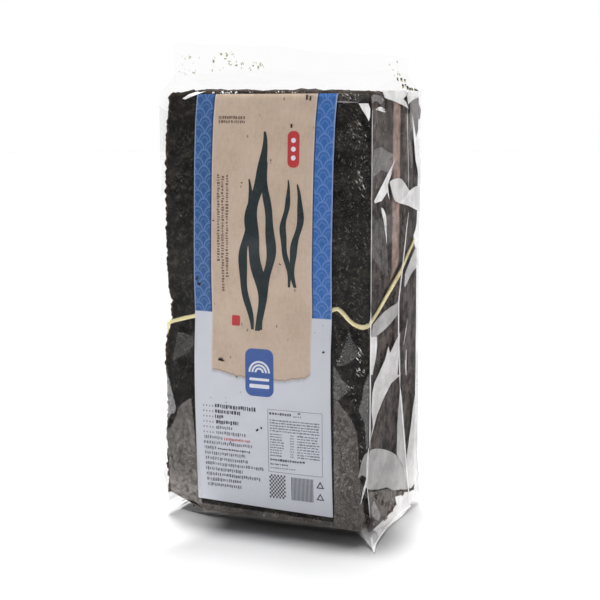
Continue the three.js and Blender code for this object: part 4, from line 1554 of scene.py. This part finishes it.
# Painted backlight: pale olive tones stand for light shining through the thin flakes.
flake_tone = tint(tree, ramp(tree, which, 0.35, 0.65), rgb(206, 200, 160), rgb(240, 238, 214))
flake_tone = glaze(tree, flake_tone, grain, 0.5, rgb(160, 152, 112))
wire(tree, flake_tone, shader.inputs["Base Color"])
shader.inputs["Roughness"].default_value = 0.7
wire(tree, bumped(tree, grain, 0.4, 0.0003), shader.inputs["Normal"])
SIZES = (0.4, 0.5, 0.6, 0.8, 1.1)
CRUMB_THICK, CRUMB_BEND = 0.12, 0.25
FLAT_WAYS = {
    "x": lambda u, v, w: Vector((w, u, v)),
    "y": lambda u, v, w: Vector((u, w, v)),
}


def crumb(middle, size, flat_axis, slim=(0.25, 0.8), brown=0.0, turn=None):
    bm = bmesh.new()
    edge_layer = bm.verts.layers.float.new("edge")
    bmesh.ops.create_grid(bm, x_segments=2, y_segments=1, size=size / 2)
    bmesh.ops.scale(bm, vec=(1, draw.uniform(*slim), 1), verts=bm.verts)
    turn = draw.uniform(0, math.tau) if turn is None else turn
    for vert in bm.verts:
        x, y = vert.co.x, vert.co.y
        bend_up = -CRUMB_BEND * abs(x)
        u = x * math.cos(turn) - y * math.sin(turn)
        v = x * math.sin(turn) + y * math.cos(turn)
        vert.co = middle + FLAT_WAYS[flat_axis](u, v, bend_up)
        vert[edge_layer] = brown
    bmesh.ops.solidify(bm, geom=bm.faces[:], thickness=CRUMB_THICK)
    bmesh.ops.recalc_face_normals(bm, faces=bm.faces)
    return bm


print(flake.name, "nodes:", len(tree.nodes))

# %% [markdown]
# The tables give the places in millimetres, with a length where it matters. The heaps in the top are given as
# a stretch of the ridge, a stretch of height and a count, and a chain of longer flakes lies along the right
# end of the roof. Frayed fibres stick out of the left edge, and torn bits fill the lower right corner.

# %% Crumbs: where they lie
LABEL_CRUMBS = (
    (-23.7, 81.6, 2.0), (-22.5, 81, 1.9), (20.5, 205.6, 2.2), (22.2, 205.2, 2.0), (-36.2, 120.1, 1.9),
    (-35.2, 117.3, 1.7), (-4.3, 48.6, 1.5), (-2.2, 49.8, 1.1), (17.5, 58.4, 1.4), (13.1, 192.6, 1.6),
)
RIDGE_HEAPS = (
    ((-1.06, -0.88), (217.0, 228.0), 16), ((-0.75, -0.5), (218.5, 227.5), 28),
    ((-0.5, -0.25), (218.8, 222.6), 22),
)
RIGHT_CHAIN = (
    (0, 214.2, 2.4), (5.6, 214.4, 3.0), (10.5, 214, 2.6), (8, 211.4, 3.2), (11.5, 211.8, 2.4),
    (15, 210.4, 3.4), (18.5, 210, 3.0), (21.5, 209.8, 2.6), (26, 209.6, 2.8), (29, 209, 3.2),
    (31.3, 208.6, 2.6),
)
RIGHT_STRAYS = (
    (-9, 220.5), (-4, 218.4), (2, 222), (6, 216.4), (3, 217.2), (18, 206.6), (27, 207.4), (-2, 216),
)
FRAYS = (
    (12, 1.2), (18, 1), (22, 1), (52, 1.2), (76, 1.4), (80, 1.2), (103, 1.5), (107, 2.2), (112, 1.4),
    (150, 1.2), (168, 1),
)
TORN_CORNER = (
    (49.4, 19.8, 1.6), (50.2, 18, 2.2), (51.2, 16, 2.2), (52, 13.8, 1.8), (50.2, 9.2, 1.6), (51.4, 9, 2.2),
    (48.5, 29.4, 1.8), (49, 27.6, 1.6), (49.4, 25, 1.4),
)
TORN_SIDE = (
    (3.2, 14.3), (7.7, 11.6), (10.7, 12.3), (-5.5, 8.1), (-9.8, 7.3), (-14, 6), (-1.1, 9.4), (-25.5, 19.5),
    (-17.1, 15.3), (-28, 9), (-12, 12),
)
print("places on the label and at the torn edges:", len(LABEL_CRUMBS), len(FRAYS + TORN_CORNER + TORN_SIDE))

# %% [markdown]
# Dark crumbs first: some in known places on the label and some strewn over it, frayed fibres that are brown
# as the sheets are at the left edge, and torn bits at the right corner and side. Each lies a little in front
# of what it lies on, and its brown says how much it takes of the edge tone.

# %% Build the dark crumbs
STREWN = 26
CRUMB_LIFT, CORNER_LIFT, SIDE_LIFT = 0.35, 0.3, 0.4
FRAYS_EACH, FRAY_DEPTH, FRAY_SLIM, FRAY_BROWN = 5, (-33, -29), (0.1, 0.25), 0.9
UNDER_CORNER, UNDER_X, UNDER_Y, UNDER_Z = 6, (-42, -28), -32.5, (3.0, 6.0)
TORN_EACH = 3
label_crumbs, top_crumbs = bmesh.new(), bmesh.new()
label_crumbs.verts.layers.float.new("edge")
top_crumbs.verts.layers.float.new("edge")
strewn = [(draw.uniform(LABEL_LEFT + 1, LABEL_RIGHT - 2), draw.uniform(LABEL_BOTTOM + 2, LABEL_TOP - 6),
           draw.choice(SIZES)) for _ in range(STREWN)]
for x, z, size in LABEL_CRUMBS + tuple(strewn):
    on_label = Vector((x, LABEL_SINK - CRUMB_LIFT - half_depth_at(x, z, -1), z))
    merge(label_crumbs, crumb(on_label, size, "y"))
for z, length in FRAYS:
    for _ in range(FRAYS_EACH):
        height = z + draw.gauss(0, 1.5)
        x = along_table(LEFT_EDGE, height) + draw.uniform(-0.5, 0.9)
        at_edge = Vector((x, draw.uniform(*FRAY_DEPTH), height))
        merge(label_crumbs, crumb(at_edge, length * draw.uniform(0.8, 1.8), "y", FRAY_SLIM, FRAY_BROWN))
for _ in range(UNDER_CORNER):
    under = Vector((draw.uniform(*UNDER_X), UNDER_Y, draw.uniform(*UNDER_Z)))
    merge(label_crumbs, crumb(under, draw.uniform(1.0, 2.6), "y", (0.1, 0.3), FRAY_BROWN))
for x, z, length in TORN_CORNER:
    at_corner = Vector((x, -half_depth_at(x, z, -1) - CORNER_LIFT, z))
    merge(label_crumbs, crumb(at_corner, length, "y", (0.25, 0.5), 0.0, draw.uniform(-1.3, -0.8)))
for y, z in TORN_SIDE:
    x = half_width_at(y / HALF_DEPTH, 1) + SIDE_LIFT
    for _ in range(TORN_EACH):
        at_side = Vector((x, y + draw.uniform(-2, 2), z + draw.uniform(-1, 1)))
        merge(label_crumbs, crumb(at_side, draw.uniform(1.6, 3.6), "x", (0.3, 0.7), draw.uniform(0.5, 1.0)))
print("dark crumbs, faces so far:", len(label_crumbs.faces))

# %% [markdown]
# Then the top: pale flakes heaped along the wavy flap, a chain of dark and pale ones along the right end of
# the roof, and a few strays above it.

# %% Build the flakes in the top
HEAP_GROW, CHAIN_DARK = 1.2, 0.85
CHAIN_X, CHAIN_X_BEHIND, STRAY_X = 52.0, 51.8, 51.0
CHAIN_TURN = (-0.5, 0.1)
RIDGE = SHOULDER + ROOF_RISE
for (low_share, high_share), (low_z, high_z), count in RIDGE_HEAPS:
    for _ in range(count):
        width_share, z = draw.uniform(low_share, high_share), draw.uniform(low_z, high_z)
        x = width_share * HALF_WIDTH
        y = gusset_share(width_share) * half_depth_at(x, SHOULDER, 1)
        y += FLAP_WAVE * math.sin(FLAP_WAVES * math.pi * width_share) * ease(z, RIDGE, RIDGE + FLAP_RISE)
        merge(top_crumbs, crumb(Vector((x, y, z)), draw.choice(SIZES) * HEAP_GROW, "y"))
for y, z, length in RIGHT_CHAIN:
    dark_spot, pale_spot = Vector((CHAIN_X, y, z)), Vector((CHAIN_X_BEHIND, y + 1.2, z - 0.5))
    brown, turn = draw.uniform(0.2, 1.0), draw.uniform(*CHAIN_TURN)
    merge(label_crumbs, crumb(dark_spot, length * CHAIN_DARK, "x", (0.25, 0.45), brown, turn))
    merge(top_crumbs, crumb(pale_spot, length, "x", (0.3, 0.6), 0.0, draw.uniform(*CHAIN_TURN)))
for y, z in RIGHT_STRAYS:
    merge(top_crumbs, crumb(Vector((STRAY_X, y, z)), draw.uniform(1.0, 2.2), "x", (0.3, 0.6)))
make_piece("nori_crumbs", label_crumbs, nori, sharp=30)
make_piece("nori_flakes", top_crumbs, flake, sharp=30)

# %% [markdown]
# The camera stands where the photograph was taken from: a little to the right of the front, level with the
# top of the stack and tilted down so that the whole pack is in view.

# %% Camera
camera = bpy.data.objects.new("camera", bpy.data.cameras.new("camera"))
bpy.context.scene.collection.objects.link(camera)
bpy.context.scene.camera = camera
CAMERA_PLACE = (261.2, -599.7, 199.3)
CAMERA_TURN, CAMERA_PITCH = 23.38, 8.06
FOCAL_PIXELS, IMAGE_PIXELS, SENSOR = 1334, 600, 36
camera.location = Vector(CAMERA_PLACE) * MM
camera.rotation_euler = (math.radians(90 - CAMERA_PITCH), 0, math.radians(CAMERA_TURN))
camera.data.sensor_width = SENSOR
camera.data.lens = SENSOR * FOCAL_PIXELS / IMAGE_PIXELS
camera.data.clip_start, camera.data.clip_end = 0.01, 50
print("lens in mm:", round(camera.data.lens, 1))

# %% [markdown]
# A pale floor and a pale surround keep the set plain. The floor is a wide disc with a faint sheen, so that
# the pack has a soft shadow. The film mirrors it as a dark room would look: rays that come from a mirror are
# told apart by the Light Path node, and that leaves the clear film on the front clear.

# %% Floor
FLOOR_TONES = (0.44, 0.44, 0.443, 1), (0.45, 0.45, 0.453, 1)
FLOOR_MIRRORED = (0.05, 0.05, 0.052, 1)
FLOOR_RADIUS = 6.0
floor_finish, tree, shader = new_finish("pale_floor")
cloud = speckle(tree, place(tree), 6.0, 2.0)
pale = tint(tree, cloud, *FLOOR_TONES)
mirrored = add(tree, "ShaderNodeLightPath").outputs["Is Glossy Ray"]
wire(tree, tint(tree, mirrored, pale, FLOOR_MIRRORED), shader.inputs["Base Color"])
shader.inputs["Roughness"].default_value = 0.4
shader.inputs["Specular IOR Level"].default_value = 0.2
floor_mesh = bmesh.new()
bmesh.ops.create_circle(floor_mesh, cap_ends=True, segments=96, radius=FLOOR_RADIUS)
mesh = bpy.data.meshes.new("floor")
floor_mesh.to_mesh(mesh)
floor_mesh.free()
mesh.materials.append(floor_finish)
floor = bpy.data.objects.new("floor", mesh)
bpy.context.scene.collection.objects.link(floor)
print("floor ready")

# %% [markdown]
# The light is soft. Three suns stand high above, a little behind the pack. Together they only just whiten the
# floor: the narrow one draws a dark core close under the pack, and the two wider ones fade its rim and give
# the shadow a long grey tail. Two low lamps fill the front and the right side almost level, so they hardly
# touch the floor, and two narrow cards brighten the floor beside the pack, where the shadow ends. No lamp
# shows in a mirror.

# %% Light: lamps
LAMPS = (("lamp_front_left", (-0.7, -1.3, 0.055), (0, 0, 0.1), 9.7, 0.1),
         ("lamp_right", (1.2, 0.9, 0.16), (0, 0, 0.12), 12.4, 0.3))
SUNS = (("sun_core", (-0.07, 0.08, 1.0), 4.6, 6), ("sun_soft", (-0.01, 0.19, 1.0), 2.1, 13),
        ("sun_wide", (-0.1, 0.34, 1.0), 1.25, 20))
CARDS = (("card_left", (-0.1, -0.45, 0.5), (-0.056, -0.056, 0), 24.0, 7.0),
         ("card_right", (0.5, -0.2, 0.5), (0.074, 0.014, 0), 17.0, 7.0))
scene = bpy.context.scene
scene.view_settings.view_transform = "Standard"


def add_light(name, kind, place_at, aim, power):
    data = bpy.data.lights.new(name, kind)
    data.energy = power
    light = bpy.data.objects.new(name, data)
    light.location = place_at
    light.rotation_euler = (Vector(aim) - Vector(place_at)).to_track_quat("-Z", "Y").to_euler()
    light.visible_glossy = False
    scene.collection.objects.link(light)
    return data


for name, place_at, aim, power, size in LAMPS:
    lamp = add_light(name, "AREA", place_at, aim, power)
    lamp.shape, lamp.size = "SQUARE", size
for name, place_at, power, width in SUNS:
    add_light(name, "SUN", place_at, (0, 0, 0), power).angle = math.radians(width)
for name, place_at, aim, power, width in CARDS:
    card = add_light(name, "SPOT", place_at, aim, power)
    card.spot_size, card.spot_blend = math.radians(width), 1.0
print("lights:", len(LAMPS) + len(SUNS) + len(CARDS))

# %% [markdown]
# The surround is white to the camera. To matt surfaces it is dim, a little brighter from above. In a mirror
# it is dark, except straight behind the pack, so that film seen at a glancing angle turns white.

# %% Light: surround
WHITE = (1, 1, 1, 1)
MIRROR_DARK = (0.05, 0.05, 0.053, 1)
MATT_LOW, MATT_HIGH = (0.03, 0.03, 0.031, 1), (0.12, 0.12, 0.122, 1)
AWAY_FROM_CAMERA = (-0.397, 0.918, 0.0)
ABOVE = (0.0, 0.0, 1.0)
world = bpy.data.worlds.new("surround")
scene.world = world
world.use_nodes = True
tree = world.node_tree
sky = tree.nodes["Background"]
heading = add(tree, "ShaderNodeTexCoord").outputs["Generated"]


def facing(direction, low, high):
    aimed = tree.nodes.new("ShaderNodeVectorMath")
    aimed.operation = "DOT_PRODUCT"
    wire(tree, heading, aimed.inputs[0])
    aimed.inputs[1].default_value = direction
    return ramp(tree, aimed.outputs["Value"], low, high)


mirror_view = tint(tree, facing(AWAY_FROM_CAMERA, 0.76, 0.86), MIRROR_DARK, WHITE)
matt_view = tint(tree, facing(ABOVE, 0.3, 1.0), MATT_LOW, MATT_HIGH)
path = add(tree, "ShaderNodeLightPath")
view = tint(tree, path.outputs["Is Diffuse Ray"], mirror_view, matt_view)
wire(tree, tint(tree, path.outputs["Is Camera Ray"], view, WHITE), sky.inputs["Color"])
sky.inputs["Strength"].default_value = 1.0
print("surround nodes:", len(tree.nodes))
